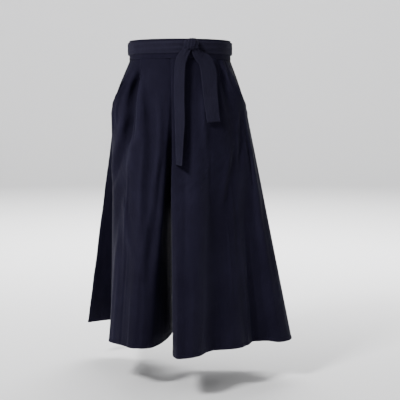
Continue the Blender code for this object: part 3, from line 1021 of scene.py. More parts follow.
@dataclass
class Panel:
    """One quarter of the trousers: a front or back of a leg.

    Attributes:
        name: the solid that it stands for.
        leg: the leg that it belongs to.
        part: whether it is the front or the back.
        folds: the creases that are pressed into it.
        flat: width and length of the rectangle that it is cut from, in metres.
        flat_area: area of the cut in square metres.
        gathers: number of gathers at the waist.
        surface: its cloth, once it is woven.
        places: the column of each of its lines.
    """

    name: str
    leg: Leg
    part: Part
    folds: Sequence[Fold]
    flat: tuple[float, float]
    flat_area: float
    gathers: int = 0
    wall: float = 0.0009
    column_pitch: float = 0.0048
    fewest_columns: int = 6
    most_columns: int = 15
    gather_depth: float = 0.0046
    gather_length: float = 0.105
    gather_wear_and_highlight: float = 0.25
    fold_start: float = 0.22
    fold_end: float = 0.34
    fold_foot: float = 0.4
    fold_wander: float = 0.05
    flank_depth: float = 0.28
    flank_place: float = 1.9
    wear_and_highlight_height: float = 0.008
    most_wear_and_highlight: float = 0.3
    pressed_edge: float = 0.014
    hang_depth: float = 0.0005
    hang_start: float = 0.12
    hem: float = 0.011
    hem_step: float = 0.0006
    hem_relief: Relief = Relief(0.0006, 0.0022, 0.00035, 0.009, 0.35, 0.004)
    seam_relief: Relief = Relief(0.0007, 0.0028, 0.0007, 0.008, 0.4, 0.0035)
    mouth_relief: Relief = Relief(0.0006, 0.0025, 0.0009, 0.014, 0.5, 0.004)
    mouth_swell: float = 0.0008
    mouth_rows: tuple[float, float] = (0.005, 0.010)
    mouth_end: float = 0.002
    tack_rows: tuple[float, ...] = (-0.0006, 0.0, 0.0006)
    tack_pitch: float = 0.0011
    tack_stitch: float = 0.0013
    look_aside: float = 0.006
    surface: Surface = field(init=False)
    places: list[int] = field(init=False)

    ROWS = ((WAIST_Z, -0.090, 20), (-0.090, HIP_Z, 26), (HIP_Z, CROTCH_Z, 42),
            (CROTCH_Z, -0.900, 84), (-0.900, HEM_Z, 12))

    def heights(self) -> np.ndarray:
        """Side heights of the rows, closest at the waist and at the hem."""
        runs = [np.linspace(top, foot, count, endpoint=False) for top, foot, count in self.ROWS]
        return np.concatenate(runs + [np.array([HEM_Z])])

    def weave(self) -> None:
        """Lay the grid of the cloth on its lines, then crease, gather, hem and seam it."""
        z = self.heights()
        lines = panel_lines(self.leg, self.part, z)
        other = Part.BACK if self.part is Part.FRONT else Part.FRONT
        beyond = panel_lines(self.leg, other, z)
        joined_inside = (z <= CROTCH_Z)[:, None]
        joined_side = (z < HIP_Z)[:, None]
        before = np.where(joined_inside, beyond[1], 2 * lines[0] - lines[1])
        after = np.where(joined_side, beyond[-2], 2 * lines[-1] - lines[-2])
        chain = [before] + lines + [after]
        runs = []
        self.places = [0]
        for index in range(len(lines) - 1):
            span = float(np.linalg.norm(lines[index + 1][-1] - lines[index][-1]))
            count = min(max(round(span / self.column_pitch), self.fewest_columns),
                        self.most_columns)
            runs.append(curve_points(chain[index:index + 4], np.arange(count) / count))
            self.places.append(self.places[-1] + count)
        runs.append(lines[-1][:, None, :])
        self.surface = Surface(np.concatenate(runs, axis=1),
                               self.leg.side.value * self.part.value)
        self.part_rise(z)
        if self.gathers:
            self.gather(z)
        self.crease(z)
        self.soften(z)
        self.turn_hem()
        self.seam_pucker(z, Edge.SIDE, HIP_Z)
        self.seam_pucker(z, Edge.INNER, CROTCH_Z)
        if self.part is Part.FRONT:
            self.stretch_mouth(z)

    def part_rise(self, z: np.ndarray) -> None:
        """Move the inner edge off the rise, so that the two legs don't meet.

        Args:
            z: side height of each row.
        """
        apart = np.where(z >= CROTCH_Z, SEAM_GAP / 2, 0.0)
        reach = 1.0 - smooth(np.arange(self.places[1]) / self.places[1])
        self.surface.points[:, :self.places[1], 0] += (self.leg.side.value * apart[:, None]
                                                       * reach[None, :])

    def edge_fade(self) -> np.ndarray:
        """0 at the panel's two edges and 1 further in, where the seams don't hold it."""
        inner = smooth(self.surface.off(Edge.INNER) / self.pressed_edge)
        return inner * smooth(self.surface.off(Edge.SIDE) / self.pressed_edge)

    def gather(self, z: np.ndarray) -> None:
        """Ripple the top with gathers of uneven length and depth.

        Args:
            z: side height of each row.
        """
        across = self.surface.across()
        place = across / across[:, -1:] * self.gathers
        number = np.floor(place)
        uneven = 0.5 + 0.5 * np.sin(number * 2.4 + self.leg.side.value)
        length = self.gather_length * (0.55 + 0.75 * uneven)
        depth = self.gather_depth * (0.60 + 0.40 * np.sin(number * 4.1 + 1.0) ** 2)
        fade = 1.0 - smooth((WAIST_Z - z)[:, None] / length)
        flat_ends = np.clip(np.minimum(place, self.gathers - place), 0.0, 1.0)
        ripple = np.sin(math.pi * place) ** 2 * flat_ends
        self.surface.push(-ripple * depth * fade)
        # The crests between the gathers are painted lighter: rubbed cloth and painted highlight
        self.surface.wear_and_highlight += (1.0 - ripple) * fade * self.gather_wear_and_highlight * flat_ends

    def crease(self, z: np.ndarray) -> None:
        """Press the panel's folds into it, soft at both ends.

        Args:
            z: side height of each row.
        """
        across = self.surface.across()
        fade = self.edge_fade()
        numbers = np.interp(np.arange(across.shape[1]), self.places, range(len(self.places)))
        for fold in self.folds:
            share = (z - fold.top * MM) / (fold.foot * MM - fold.top * MM)
            line = fold.line + (fold.end_line - fold.line) * np.clip(share, 0.0, 1.0)
            line = line + self.fold_wander * np.sin(z * 23.0 + fold.line)
            middle = np.array([np.interp(number, numbers, row)
                               for number, row in zip(line, across)])
            ends = smooth(share / self.fold_start) * smooth((1.0 - share) / self.fold_end)
            if fold.foot * MM < HEM_Z:
                ends = smooth(share / self.fold_foot)
            width = fold.width * MM * (0.8 + 0.5 * np.clip(share, 0.0, 1.0))[:, None]
            off = (across - middle[:, None]) / width
            off = off / (1.0 + fold.lean * np.sign(off))
            profile = hump(off, 0.0, 1.0) - self.flank_depth * hump(
                np.abs(off), self.flank_place, 1.0)
            amount = profile * ends[:, None] * fade * fold.depth * MM
            self.surface.push(amount)
            # Raised crests are painted lighter, in part as rubbed cloth and in part as painted
            # highlight
            self.surface.wear_and_highlight += np.clip(amount / self.wear_and_highlight_height, 0.0, self.most_wear_and_highlight)

    def soften(self, z: np.ndarray) -> None:
        """Add the slight, long unevenness of hanging cloth.

        Args:
            z: side height of each row.
        """
        across = self.surface.across()
        down = self.surface.down()
        phase = self.leg.side.value * 1.7 + self.part.value * 0.9
        wave = (np.sin(across * 92.0 + down * 4.0 + phase) * np.sin(down * 5.1 + phase * 2.0)
                + 0.6 * np.sin(across * 171.0 - down * 7.0 + phase * 3.0)
                * np.sin(down * 8.0 + 1.3))
        loose = smooth((WAIST_Z - z) / self.hang_start)[:, None]
        self.surface.push(wave * self.hang_depth * loose * self.edge_fade())

    def turn_hem(self) -> None:
        """Give the hem its doubled cloth: a step out below its stitches and a fine groove."""
        relief = self.hem_relief
        up = self.surface.up()
        step = self.hem_step * (1.0 - smooth((up - self.hem + 0.002) / 0.003))
        groove = -relief.groove * hump(up, self.hem, relief.groove_width)
        pucker = relief.pucker * np.sin(self.surface.across() * 420.0) * hump(
            up, self.hem * 0.8, relief.pucker_width)
        self.surface.push(step + groove + pucker)
        self.surface.wear_and_highlight += relief.worn * hump(up, 0.0, relief.worn_width)

    def seam_pucker(self, z: np.ndarray, edge: Edge, top: float) -> None:
        """Pull a line of stitches along an edge into the cloth.

        Args:
            z: side height of each row.
            edge: the edge that is sewn.
            top: height under which the seam runs.
        """
        relief = self.seam_relief
        off = self.surface.off(edge)
        down = self.surface.down()
        run = smooth((top - z[:, None]) / SEAM_START)
        groove = -relief.groove * hump(off, SEAM_INSET, relief.groove_width)
        pucker = relief.pucker * np.sin(down * 310.0 + np.sin(down * 47.0) * 2.0) * hump(
            off, SEAM_INSET * 0.6, relief.pucker_width) * smooth(off / 0.003)
        self.surface.push((groove + pucker) * run)
        self.surface.wear_and_highlight += relief.worn * hump(off, 0.0, relief.worn_width) * run

    def stretch_mouth(self, z: np.ndarray) -> None:
        """Stretch and ripple the slanted mouth of the pocket.

        Args:
            z: side height of each row.
        """
        relief = self.mouth_relief
        off = self.surface.off(Edge.SIDE)
        down = self.surface.down()
        z = z[:, None]
        mouth = smooth((WAIST_Z - 0.004 - z) / SEAM_START) * smooth((z - HIP_Z) / SEAM_START)
        ripple = relief.pucker * np.sin(down * 120.0 + np.sin(down * 31.0)) * hump(
            off, 0.0, relief.pucker_width)
        groove = -relief.groove * hump(off, SEAM_INSET, relief.groove_width)
        swell = self.mouth_swell * hump(off, 0.0, 0.008)
        self.surface.push((ripple + groove + swell) * mouth)
        self.surface.wear_and_highlight += relief.worn * hump(off, 0.0, relief.worn_width) * mouth

    def sample(self, row: int, column: float) -> np.ndarray:
        """Point of a row at a fractional column.

        Args:
            row: the row.
            column: how many columns across.

        Returns:
            The point on the cloth.
        """
        points = self.surface.points[row]
        low = min(int(column), len(points) - 2)
        return points[low] + (points[low + 1] - points[low]) * (column - low)

    def on_face(self, path: Sequence[np.ndarray], outs: Sequence[np.ndarray]
                ) -> tuple[np.ndarray, np.ndarray]:
        """Lift a path of the cloth's middle to its outer face, and give it with its normals."""
        path, outs = np.array(path), np.array(outs)
        return path + outs * self.wall * THREAD_LIFT, outs

    def course(self, line: int, off: float, top: float, foot: float
               ) -> tuple[np.ndarray, np.ndarray]:
        """Path beside a line of the panel.

        Args:
            line: the line, counted from the inner edge, or -1 for the side edge.
            off: distance from the line towards the side edge, in metres.
            top: height where the path starts.
            foot: height where it ends.

        Returns:
            Points on the outer face, and normals.
        """
        across = self.surface.across()
        normals = self.surface.normals()
        z = self.heights()
        path, outs = [], []
        for row in np.flatnonzero((z <= top) & (z >= foot)):
            place = across[row, self.places[line]] + off
            column = np.interp(place, across[row], np.arange(across.shape[1]))
            path.append(self.sample(row, column))
            outs.append(normals[row, int(round(column))])
        return self.on_face(path, outs)

    def hem_line(self) -> tuple[np.ndarray, np.ndarray]:
        """Path of the hem's stitches, with its normals.

        Returns:
            Points on the outer face, and normals.
        """
        rows = np.argmin(np.abs(self.surface.up() - self.hem), axis=0)
        columns = np.arange(len(rows))
        return self.on_face(self.surface.points[rows, columns],
                            self.surface.normals()[rows, columns])

    def stitch(self, sewing: Sewing) -> None:
        """Sew the hem, and on a front the side seam, the pocket's mouth and its two tacks.

        Args:
            sewing: where the stitches go.
        """
        sewing.run(*self.hem_line())
        if self.part is Part.FRONT:
            sewing.run(*self.course(-1, -SEAM_INSET, HIP_Z, HEM_Z + self.hem))
            for off in self.mouth_rows:
                sewing.run(*self.course(-1, -off, WAIST_Z - self.mouth_end,
                                        HIP_Z + self.mouth_end))
            self.tack(sewing, HIP_Z + 0.004, 0.010)
            self.tack(sewing, WAIST_Z - 0.006, 0.009)

    def tack(self, sewing: Sewing, z: float, width: float) -> None:
        """Close an end of the pocket's mouth with a bar of tight stitches.

        Args:
            sewing: where the stitches go.
            z: height of the bar.
            width: how far it reaches from the side edge.
        """
        row = int(np.argmin(np.abs(self.heights() - z)))
        across = self.surface.across()[row]
        normal = self.surface.normals()[row, -3]
        path = []
        for off in np.linspace(0.0012, width, 12):
            column = np.interp(across[-1] - off, across, np.arange(len(across)))
            path.append(self.sample(row, column) + normal * self.wall * 0.7)
        outs = np.repeat(normal[None, :], len(path), axis=0)
        for lift in self.tack_rows:
            sewing.run(np.array(path) + np.array([0.0, 0.0, lift]), outs,
                       pitch=self.tack_pitch, length=self.tack_stitch)

    def nearest_front(self, x: float, z: float) -> float:
        """How far to the front the cloth lies at a place across and up.

        Args:
            x: place across.
            z: height.

        Returns:
            The lowest y of the cloth there.
        """
        row = int(np.argmin(np.abs(self.heights() - min(z, WAIST_Z))))
        near = self.surface.points[row]
        close = np.abs(near[:, 0] - x) < self.look_aside
        return float(near[close, 1].min()) if close.any() else float(near[:, 1].min())

    def make(self, finish: bpy.types.Material) -> None:
        """Make the panel a piece; a back passes under the next panels along its seams.

        Args:
            finish: its material.
        """
        cloth = self.surface.with_allowance()
        if self.part is Part.BACK:
            z = cloth.points[:, 0, 2]
            on_rise = (z >= CROTCH_Z) & (self.leg.side is Side.RIGHT)
            cloth = cloth.with_lap(Edge.INNER, np.where(on_rise, 0.0, 1.0))
            cloth = cloth.with_lap(Edge.SIDE, np.where(z > LAP_TOP, 0.0, 1.0))
        cloth.stand_for(self.name, "cloth", finish, self.wall, flat=self.flat, held="hung",
                        rests_on=[f"waistband_{self.part.name.lower()}_cloth"],
                        area=self.flat_area)


# ---------------------------------------------------------------------------
# Pockets, waistband and belt
# ---------------------------------------------------------------------------

@dataclass
class Facing:
    """Pocket facing, which shows in the slanted mouth between the front and the side seam."""

    leg: Leg
    flat: tuple[float, float] = (0.080, 0.226)
    flat_area: float = 0.0170
    hidden_z: float = -0.236
    side_z: float = -0.218
    rows: int = 54
    columns: int = 10
    wall: float = 0.0009
    puff_depth: float = 0.0009
    inset: float = 0.0006

    LINES = (
        Line("hidden_edge", 50.0, -4.2, -0.5, 60, -8, 0, 0),
        Line("hidden_middle", 60.0, -3.6, -1, 71, -7, 0, 0),
        Line("mouth_middle", 72.0, -2.2, 0, 80, -4.5, 0, 0),
        Line("mouth_end", 83.0, -2.2, 0, 86.0, -3.4, 0, 0),
        Line("side_edge", 90.5, -2.3, 0, 90.5, -2.8, 0, 0),
    )

    def make(self, finish: bpy.types.Material) -> None:
        """Make the facing a piece that stands for its solid.

        Args:
            finish: its material.
        """
        seam = self.leg.back[-1]
        lines = [line._replace(hem_x=seam.hem_x, hem_y=seam.hem_y) for line in self.LINES]
        spans = len(lines) - 1
        rows = []
        for number in range(self.rows + 1):
            points = []
            for index, line in enumerate(lines):
                share = float(smooth(np.array(index / spans)))
                foot = self.hidden_z + (self.side_z - self.hidden_z) * share
                z = WAIST_Z + (foot - WAIST_Z) * number / self.rows
                points.append(line_points(self.leg, line, np.array([z]))[0])
            points = np.array(points)
            rows.append([curve_at(points, step / self.columns)
                         for step in range(spans * self.columns + 1)])
        surface = Surface(np.array(rows), self.leg.side.value * Part.FRONT.value)
        across, down = surface.across(), surface.down()
        puff = self.puff_depth * np.sin(down * 150.0 + np.sin(across * 60.0) * 1.5) * smooth(
            down / 0.03)
        surface.push(puff * smooth(surface.up() / 0.04) - self.inset)
        side = self.leg.side.name.lower()
        surface.with_allowance().stand_for(
            f"pocket_facing_{side}", "cloth", finish, self.wall, flat=self.flat, held="hung",
            rests_on=[f"back_{side}_cloth"], area=self.flat_area)


@dataclass
class Waistband:
    """Waistband: a smooth front and an elastic back that is ruched on its stitched channels."""

    front_columns: int = 150
    back_columns: int = 360
    rows: int = 30
    wall: float = 0.0026
    front_flat: tuple[float, float] = (0.435, 0.060)
    back_flat: tuple[float, float] = (0.560, 0.060)
    roll: float = 0.0009
    ease: float = 0.0005
    ruches: int = 38
    ruche_depth: float = 0.0020
    channels: tuple[float, ...] = (0.20, 0.50, 0.80)
    channel_width: float = 0.05
    channel_hold: float = 0.55
    seam_degrees: float = 0.07

    def oval(self, start: float, end: float, columns: int) -> tuple[Surface, np.ndarray]:
        """Lay a stretch of the band round the waist.

        Args:
            start: angle of its first column from the centre front, in degrees.
            end: angle of its last column.
            columns: number of steps between them.

        Returns:
            Its surface, and the share of the height that each row lies down.
        """
        shares = np.linspace(0.0, 1.0, self.rows + 1)
        grid = []
        for share in shares:
            z = np.array([BAND_TOP + (BAND_FOOT - BAND_TOP) * share])
            row = []
            for step in range(columns + 1):
                degrees = start + (end - start) * step / columns
                side = 1 if degrees >= 0 else -1
                row.append(oval_points(WAIST, side, abs(degrees), 0.0, z)[0])
            grid.append(row)
        return Surface(np.array(grid), -1.0), shares[:, None]

    def make_front(self, finish: bpy.types.Material) -> Surface:
        """Make the smooth front, with a slight roll between its seams.

        Args:
            finish: its material.

        Returns:
            Its surface, for the stitches.
        """
        surface, share = self.oval(-90 + self.seam_degrees, 90 - self.seam_degrees,
                                   self.front_columns)
        across = surface.across()
        roll = self.roll * np.sin(math.pi * share) - 0.0003
        ease = self.ease * np.sin(across * 61.0) * np.sin(across * 23.0 + 1.0)
        surface.push(roll + ease * np.sin(math.pi * share) ** 2)
        surface.stand_for("waistband_front", "cloth", finish, self.wall, flat=self.front_flat,
                          held="stretched", rests_on=["front_left_cloth"])
        return surface

    def make_back(self, finish: bpy.types.Material) -> Surface:
        """Make the elastic back, ruched between its channels of stitches.

        Args:
            finish: its material.

        Returns:
            Its surface, for the stitches.
        """
        surface, share = self.oval(90 + self.seam_degrees, 270 - self.seam_degrees,
                                   self.back_columns)
        place = np.linspace(0.0, self.ruches, self.back_columns + 1)[None, :]
        number = np.floor(place)
        uneven = 0.55 + 0.45 * np.sin(number * 2.3 + 0.7) ** 2
        lean = 0.35 * np.sin(share * 9.0 + number * 1.9)
        held = np.ones_like(share)
        for channel in self.channels:
            held = held - self.channel_hold * hump(share, channel, self.channel_width)
        ends = np.clip(np.minimum(place, self.ruches - place), 0.0, 1.0)
        ruche = np.sin(math.pi * (place + lean * 0.4)) ** 2 * uneven * held * ends
        surface.push(ruche * self.ruche_depth - 0.0004 * (1.0 - held))
        # The ruches' crests are painted lighter: rubbed cloth and painted highlight
        surface.wear_and_highlight += ruche * 0.35
        surface.stand_for("waistband_back", "cloth", finish, self.wall, flat=self.back_flat,
                          held="gathered", rests_on=["back_left_cloth"])
        return surface


class Station(NamedTuple):
    """Station of a belt tail: x, z, clearance, width and bow in mm, and its turn in degrees."""

    x: float
    z: float
    clear: float
    width: float
    turn: float
    bow: float


@dataclass
class Belt:
    """Cloth belt round the waist, knotted at the front, with two hanging tails.

    Attributes:
        half: half of the band's height.
        z: height of the band's middle.
        front_lift: how far the band stands out of the waist in front.
        back_lift: how far it stands out behind, over the ruches.
        start: angle of the band's first column from the centre front, in degrees.
        end: angle of its last column, past a whole turn where it laps the first.
        lift_start: angle where it starts to stand out further.
        lift_turn: angle over which it does.
        knot_reach: how far from the knot the belt's creases fade.
        knot_centre: middle of the knot.
        knot_half: half of the knot's width, depth and height.
        end_rows: distances of a tail's two closing rows of stitches from its end.
        wrap_turn: half of the angle that the knot's turn goes round, in degrees.
    """

    half: float = 0.019
    z: float = 0.010
    front_lift: float = 0.0026
    back_lift: float = 0.0056
    lift_start: float = 70.0
    lift_turn: float = 20.0
    start: float = 18.0
    end: float = 372.0
    columns: int = 300
    rows: int = 16
    wall: float = 0.0013
    band_flat: tuple[float, float] = (0.860, 0.039)
    long_flat: tuple[float, float] = (0.040, 0.360)
    short_flat: tuple[float, float] = (0.050, 0.235)
    wrap_flat: tuple[float, float] = (0.0245, 0.060)
    tail_rows: int = 110
    tail_columns: int = 14
    end_rows: tuple[float, float] = (0.0135, 0.005)
    end_hem: float = 0.012
    knot_reach: float = 0.05
    knot_centre: tuple[float, float, float] = (0.037, -0.1278, 0.018)
    knot_half: tuple[float, float, float] = (0.0226, 0.0096, 0.0156)
    knot_fill: float = 0.9
    core_cuts: int = 15
    wrap_columns: int = 26
    wrap_rows: int = 72
    wrap_turn: float = 118.0
    wrap_half: float = 0.0108

    LONG = (
        Station(30, 14, 8.5, 20, 4, 1),
        Station(26, 5, 9, 22, 6, 2),
        Station(21, -4, 9, 25, 8, 2),
        Station(16, -13, 8, 29, 12, 2),
        Station(9, -26, 7, 34, 17, 3),
        Station(4, -44, 5.5, 36, 23, 3),
        Station(2, -80, 3.5, 37, 30, 3),
        Station(1, -145, 2.5, 38, 34, 2),
        Station(3, -210, 2.5, 38, 37, 1),
        Station(2, -280, 2.5, 38, 50, 1),
        Station(1, -351, 2.5, 38, 62, 1),
    )
    SHORT = (
        Station(44, 14, 8.5, 18, 0, 1),
        Station(48, 5, 9.5, 21, -2, 2),
        Station(52, -4, 10, 24, -4, 2),
        Station(54, -9, 10, 28, -6, 2),
        Station(63, -19, 8, 36, -8, 3),
        Station(80, -34, 6, 46, -10, 3),
        Station(90, -62, 4, 50, -10, 2),
        Station(95, -120, 2.5, 46, -8, 1),
        Station(100, -170, 2.5, 43, -6, 1),
        Station(106, -221, 2.5, 41, -4, 1),
    )

    def make_band(self, finish: bpy.types.Material) -> None:
        """Make the stretch round the waist, with the long soft creases of a pulled band.

        Args:
            finish: its material.
        """
        grid = []
        for number in range(self.rows + 1):
            z = np.array([self.z + self.half * (1 - 2 * number / self.rows)])
            row = []
            for step in range(self.columns + 1):
                degrees = self.start + (self.end - self.start) * step / self.columns
                side, angle = (1, degrees) if degrees <= 180.0 else (-1, 360.0 - degrees)
                if angle < 0.0:
                    side, angle = 1, -angle
                back = float(smooth(np.array((angle - self.lift_start) / self.lift_turn)))
                lift = self.front_lift + (self.back_lift - self.front_lift) * back
                row.append(oval_points(WAIST, side, angle, lift, z)[0])
            grid.append(row)
        surface = Surface(np.array(grid), -1.0)
        across = surface.across()
        share = np.linspace(0.0, 1.0, self.rows + 1)[:, None]
        near = (np.exp(-across / self.knot_reach)
                + np.exp(-surface.off(Edge.SIDE) / self.knot_reach))
        pull = np.sin(share * 15.0 + across * 7.0) * (0.0002 + 0.0007 * near)
        roll = 0.0007 * np.sin(math.pi * share)
        surface.push(np.clip(pull + roll, -0.0002, None))
        # The band's raised creases are painted lighter: rubbed cloth and painted highlight
        surface.wear_and_highlight += np.clip(pull / 0.0009, 0.0, 0.4)
        surface.stand_for("belt_band", "belt", finish, self.wall, flat=self.band_flat,
                          held="stretched", rests_on=["waistband_front_cloth"])

    def course(self, stations: Sequence[Station], panel: Panel) -> Surface:
        """Lay the cloth of a tail along its stations.

        Args:
            stations: its course.
            panel: the cloth that it hangs in front of.

        Returns:
            Its surface, still without creases.
        """
        places = np.array([(at.x, 0.0, at.z) for at in stations]) * MM
        shapes = np.array([(at.width * MM, math.radians(at.turn), at.bow * MM)
                           for at in stations])
        clears = np.array([(at.clear, at.clear, at.clear) for at in stations]) * MM
        spans = len(stations) - 1
        step = 0.01 * spans
        reach = np.linspace(-1.0, 1.0, self.tail_columns + 1)[:, None]
        rows = []
        for number in range(self.tail_rows + 1):
            place = number / self.tail_rows * spans
            width, turn, bow = curve_at(shapes, place)
            down = unit(curve_at(places, min(place + step, spans))
                        - curve_at(places, max(place - step, 0.0)))
            flat_way = np.array([math.cos(turn), -math.sin(turn), 0.0])
            over = unit(flat_way - down * flat_way.dot(down))
            front = np.cross(down, over)
            row = curve_at(places, place) + over * reach * width / 2 + front * bow * (
                1 - reach ** 2)
            depth = min(panel.nearest_front(p[0], p[2]) - p[1] for p in row[::3])
            row[:, 1] += depth - curve_at(clears, place)[0]
            rows.append(row)
        grid = np.array(rows)
        level = np.convolve(np.pad(grid[:, 0, 1], 6, mode="edge"), np.ones(13) / 13, "valid")
        grid[:, :, 1] += np.minimum(level - grid[:, 0, 1], 0.0)[:, None]
        return Surface(grid, -1.0)

    def tail(self, name: str, surface: Surface, flat: tuple[float, float],
             finish: bpy.types.Material, sewing: Sewing) -> None:
        """Make a hanging tail, a pressed double strip with a stitched end.

        Args:
            name: the solid it stands for.
            surface: its cloth along its course.
            flat: its width and length before it was tied.
            finish: its material.
            sewing: where its stitches go.
        """
        across, down = surface.across(), surface.down()
        share = across / across[:, -1:]
        up = down[-1:, :].max() - down
        tied = np.exp(-down / self.knot_reach)
        crease = -0.0011 * hump(share, 0.62, 0.07) * tied
        crease = crease + 0.0010 * np.sin(share * 14.0 + down * 9.0) * tied
        crease = crease + 0.00035 * np.sin(down * 58.0 + share * 3.0)
        end = 0.0005 * (1.0 - smooth((up - self.end_hem) / 0.003))
        end = end - 0.0006 * hump(up, self.end_rows[0], 0.002)
        rim = 0.0005 * (hump(share, 0.0, 0.06) + hump(share, 1.0, 0.06))
        surface.push(crease + end + rim)
        surface.wear_and_highlight += 0.5 * (hump(share, 0.0, 0.05) + hump(share, 1.0, 0.05))
        surface.wear_and_highlight += 0.4 * hump(up, 0.0, 0.004)
        surface.stand_for(name, "belt", finish, self.wall, flat=flat, held="hung",
                          rests_on=["belt_knot_cloth"])
        normals = surface.normals()
        for off in self.end_rows:
            row = int(np.argmin(np.abs(up[:, 0] - off)))
            out = normals[row, 1:-1]
            sewing.run(surface.points[row, 1:-1] + out * self.wall * THREAD_LIFT, out)

    def knot(self, finish: bpy.types.Material) -> None:
        """Make the knot: the crossed belt's soft core, and the turn that is wrapped over it.

        Args:
            finish: its material.
        """
        shape = bmesh.new()
        bmesh.ops.create_cube(shape, size=2.0)
        bmesh.ops.subdivide_edges(shape, edges=shape.edges, cuts=self.core_cuts,
                                  use_grid_fill=True)
        for vertex in shape.verts:
            vertex.co = self.core_point(*vertex.co)
        core = self.finished("belt_knot_cloth", shape, finish)
        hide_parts("belt_knot")
        wrap = bmesh.new()
        bmesh.ops.create_grid(wrap, x_segments=self.wrap_columns, y_segments=self.wrap_rows,
                              size=1.0)
        for vertex in wrap.verts:
            vertex.co = self.wrap_point(vertex.co.x, vertex.co.y)
        turn = self.finished("belt_knot_turn", wrap, finish)
        thicken(turn, self.wall)

    def core_point(self, x: float, y: float, z: float) -> Vector:
        """Place a point of a cube of side 2 on the knot's core, with creases into its middle.

        Args:
            x: place across, from -1 to 1.
            y: place towards the back.
            z: place up.

        Returns:
            The point of the core.
        """
        length = max((abs(x) ** 3 + abs(y) ** 3 + abs(z) ** 3) ** (1 / 3), 1e-6)
        x, y, z = x / length, y / length, z / length
        waist = 0.72 + 0.28 * min(abs(x) / 0.75, 1.0) ** 2
        reach = min(abs(x) / 0.9, 1.0)
        pull = 0.055 * math.sin(z * 10.0 + 1.2 * x) * (1.0 - 0.5 * reach)
        wide, deep, tall = self.knot_half
        place = Vector((x * wide * 1.02, y * deep * (0.74 + pull),
                        z * tall * waist * (1.0 + 0.5 * pull)))
        return place + Vector(self.knot_centre)

    def wrap_point(self, across: float, along: float) -> Vector:
        """Place a point of the turn over the knot's core.

        Args:
            across: place over its width, from -1 to 1.
            along: place round the core, from -1 to 1.

        Returns:
            The point of the turn.
        """
        angle = along * math.radians(self.wrap_turn)
        width = self.wrap_half + 0.0022 * math.cos(angle) ** 2
        crease = (0.0008 * math.sin(across * 8.2 + 0.9 * math.sin(along * 2.6))
                  + 0.0004 * math.sin(across * 17.0 + along * 3.0))
        puff = 0.0016 * (1.0 - across ** 4) + crease * (1.0 - 0.6 * abs(across) ** 3)
        deep = self.knot_half[1] * 0.86 + puff
        tall = self.knot_half[2] * 0.98 + puff
        slant = 0.28 * math.sin(angle) * self.knot_half[2]
        place = Vector((across * width + slant, -deep * math.cos(angle), tall * math.sin(angle)))
        return place + Vector(self.knot_centre)

    @staticmethod
    def finished(name: str, shape: bmesh.types.BMesh, finish: bpy.types.Material
                 ) -> bpy.types.Object:
        """Make a part of the knot an object that rides with the garment.

        Args:
            name: the object's name.
            shape: its mesh, which is freed.
            finish: its material.

        Returns:
            The object.
        """
        bmesh.ops.recalc_face_normals(shape, faces=shape.faces)
        piece = meshed(name, shape, finish)
        mesh = piece.data
        layer = mesh.uv_layers.new(name="cloth")
        for loop in mesh.loops:
            place = mesh.vertices[loop.vertex_index].co
            layer.data[loop.index].uv = (place.x + place.y, place.z)
        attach(piece, BODY)
        LOG.info("%s: %d points", name, len(mesh.vertices))
        return piece


# ---------------------------------------------------------------------------
# The garment, the studio and the camera
# ---------------------------------------------------------------------------

@dataclass
class Trousers:
    """All the pieces of the garment.

    Attributes:
        crease_line: line of the left front that is the centre pleat's crease.
        crease_start: distance below the waist where that pleat's stitches start.
        crease_end: height where they end.
        band_lift: height of the waistband's stitches over the middle of its cloth.
    """

    crease_line: int = 4
    crease_start: float = 0.003
    crease_end: float = -0.165
    band_lift: float = 0.0014

    @staticmethod
    def panels() -> dict[str, Panel]:
        """Cut and crease the four panels.

        Returns:
            The panels by name.
        """
        panels = (
            Panel("front_right", RIGHT_LEG, Part.FRONT, RIGHT_FRONT_FOLDS, flat=(0.62, 0.93),
                  flat_area=0.42),
            Panel("front_left", LEFT_LEG, Part.FRONT, LEFT_FRONT_FOLDS, flat=(0.80, 0.95),
                  flat_area=0.54),
            Panel("back_right", RIGHT_LEG, Part.BACK, RIGHT_BACK_FOLDS, flat=(0.80, 0.98),
                  flat_area=0.55, gathers=15),
            Panel("back_left", LEFT_LEG, Part.BACK, LEFT_BACK_FOLDS, flat=(0.66, 0.95),
                  flat_area=0.45, gathers=15),
        )
        for panel in panels:
            panel.weave()
        return {panel.name: panel for panel in panels}

    def stitch(self, panels: dict[str, Panel], bands: Sequence[Surface]) -> Sewing:
        """Sew the panels, the centre pleat and the two edges of the waistband.

        Args:
            panels: the panels by name.
            bands: the surfaces of the waistband.

        Returns:
            The stitches, still open to those of the belt.
        """
        sewing = Sewing("stitches", SEWING)
        for panel in panels.values():
            panel.stitch(sewing)
        sewing.run(*panels["front_left"].course(self.crease_line, SEAM_INSET,
                                                WAIST_Z - self.crease_start, self.crease_end))
        for surface in bands:
            normals = surface.normals()
            for row in (1, len(normals) - 2):
                sewing.run(surface.points[row] + normals[row] * self.band_lift, normals[row])
        return sewing

    def build(self) -> None:
        """Make every piece of the garment in order."""
        navy, belt_navy, thread = NAVY.make(), BELT_NAVY.make(), SEWING.make()
        panels = self.panels()
        for panel in panels.values():
            panel.make(navy)
        for leg in (RIGHT_LEG, LEFT_LEG):
            Facing(leg).make(navy)
        waistband = Waistband()
        bands = (waistband.make_front(navy), waistband.make_back(navy))
        sewing = self.stitch(panels, bands)
        belt = Belt()
        belt.make_band(belt_navy)
        belt.knot(belt_navy)
        for name, stations, flat in (("belt_tail_long", belt.LONG, belt.long_flat),
                                     ("belt_tail_short", belt.SHORT, belt.short_flat)):
            surface = belt.course(stations, panels["front_left"])
            belt.tail(name, surface, flat, belt_navy, sewing)
        sewing.make(thread)


class Lamp(NamedTuple):
    """Soft light: its place and the point that it shines at, its power in W and its size."""

    name: str
    place: tuple[float, float, float]
    target: tuple[float, float, float]
    power: float
    size: float


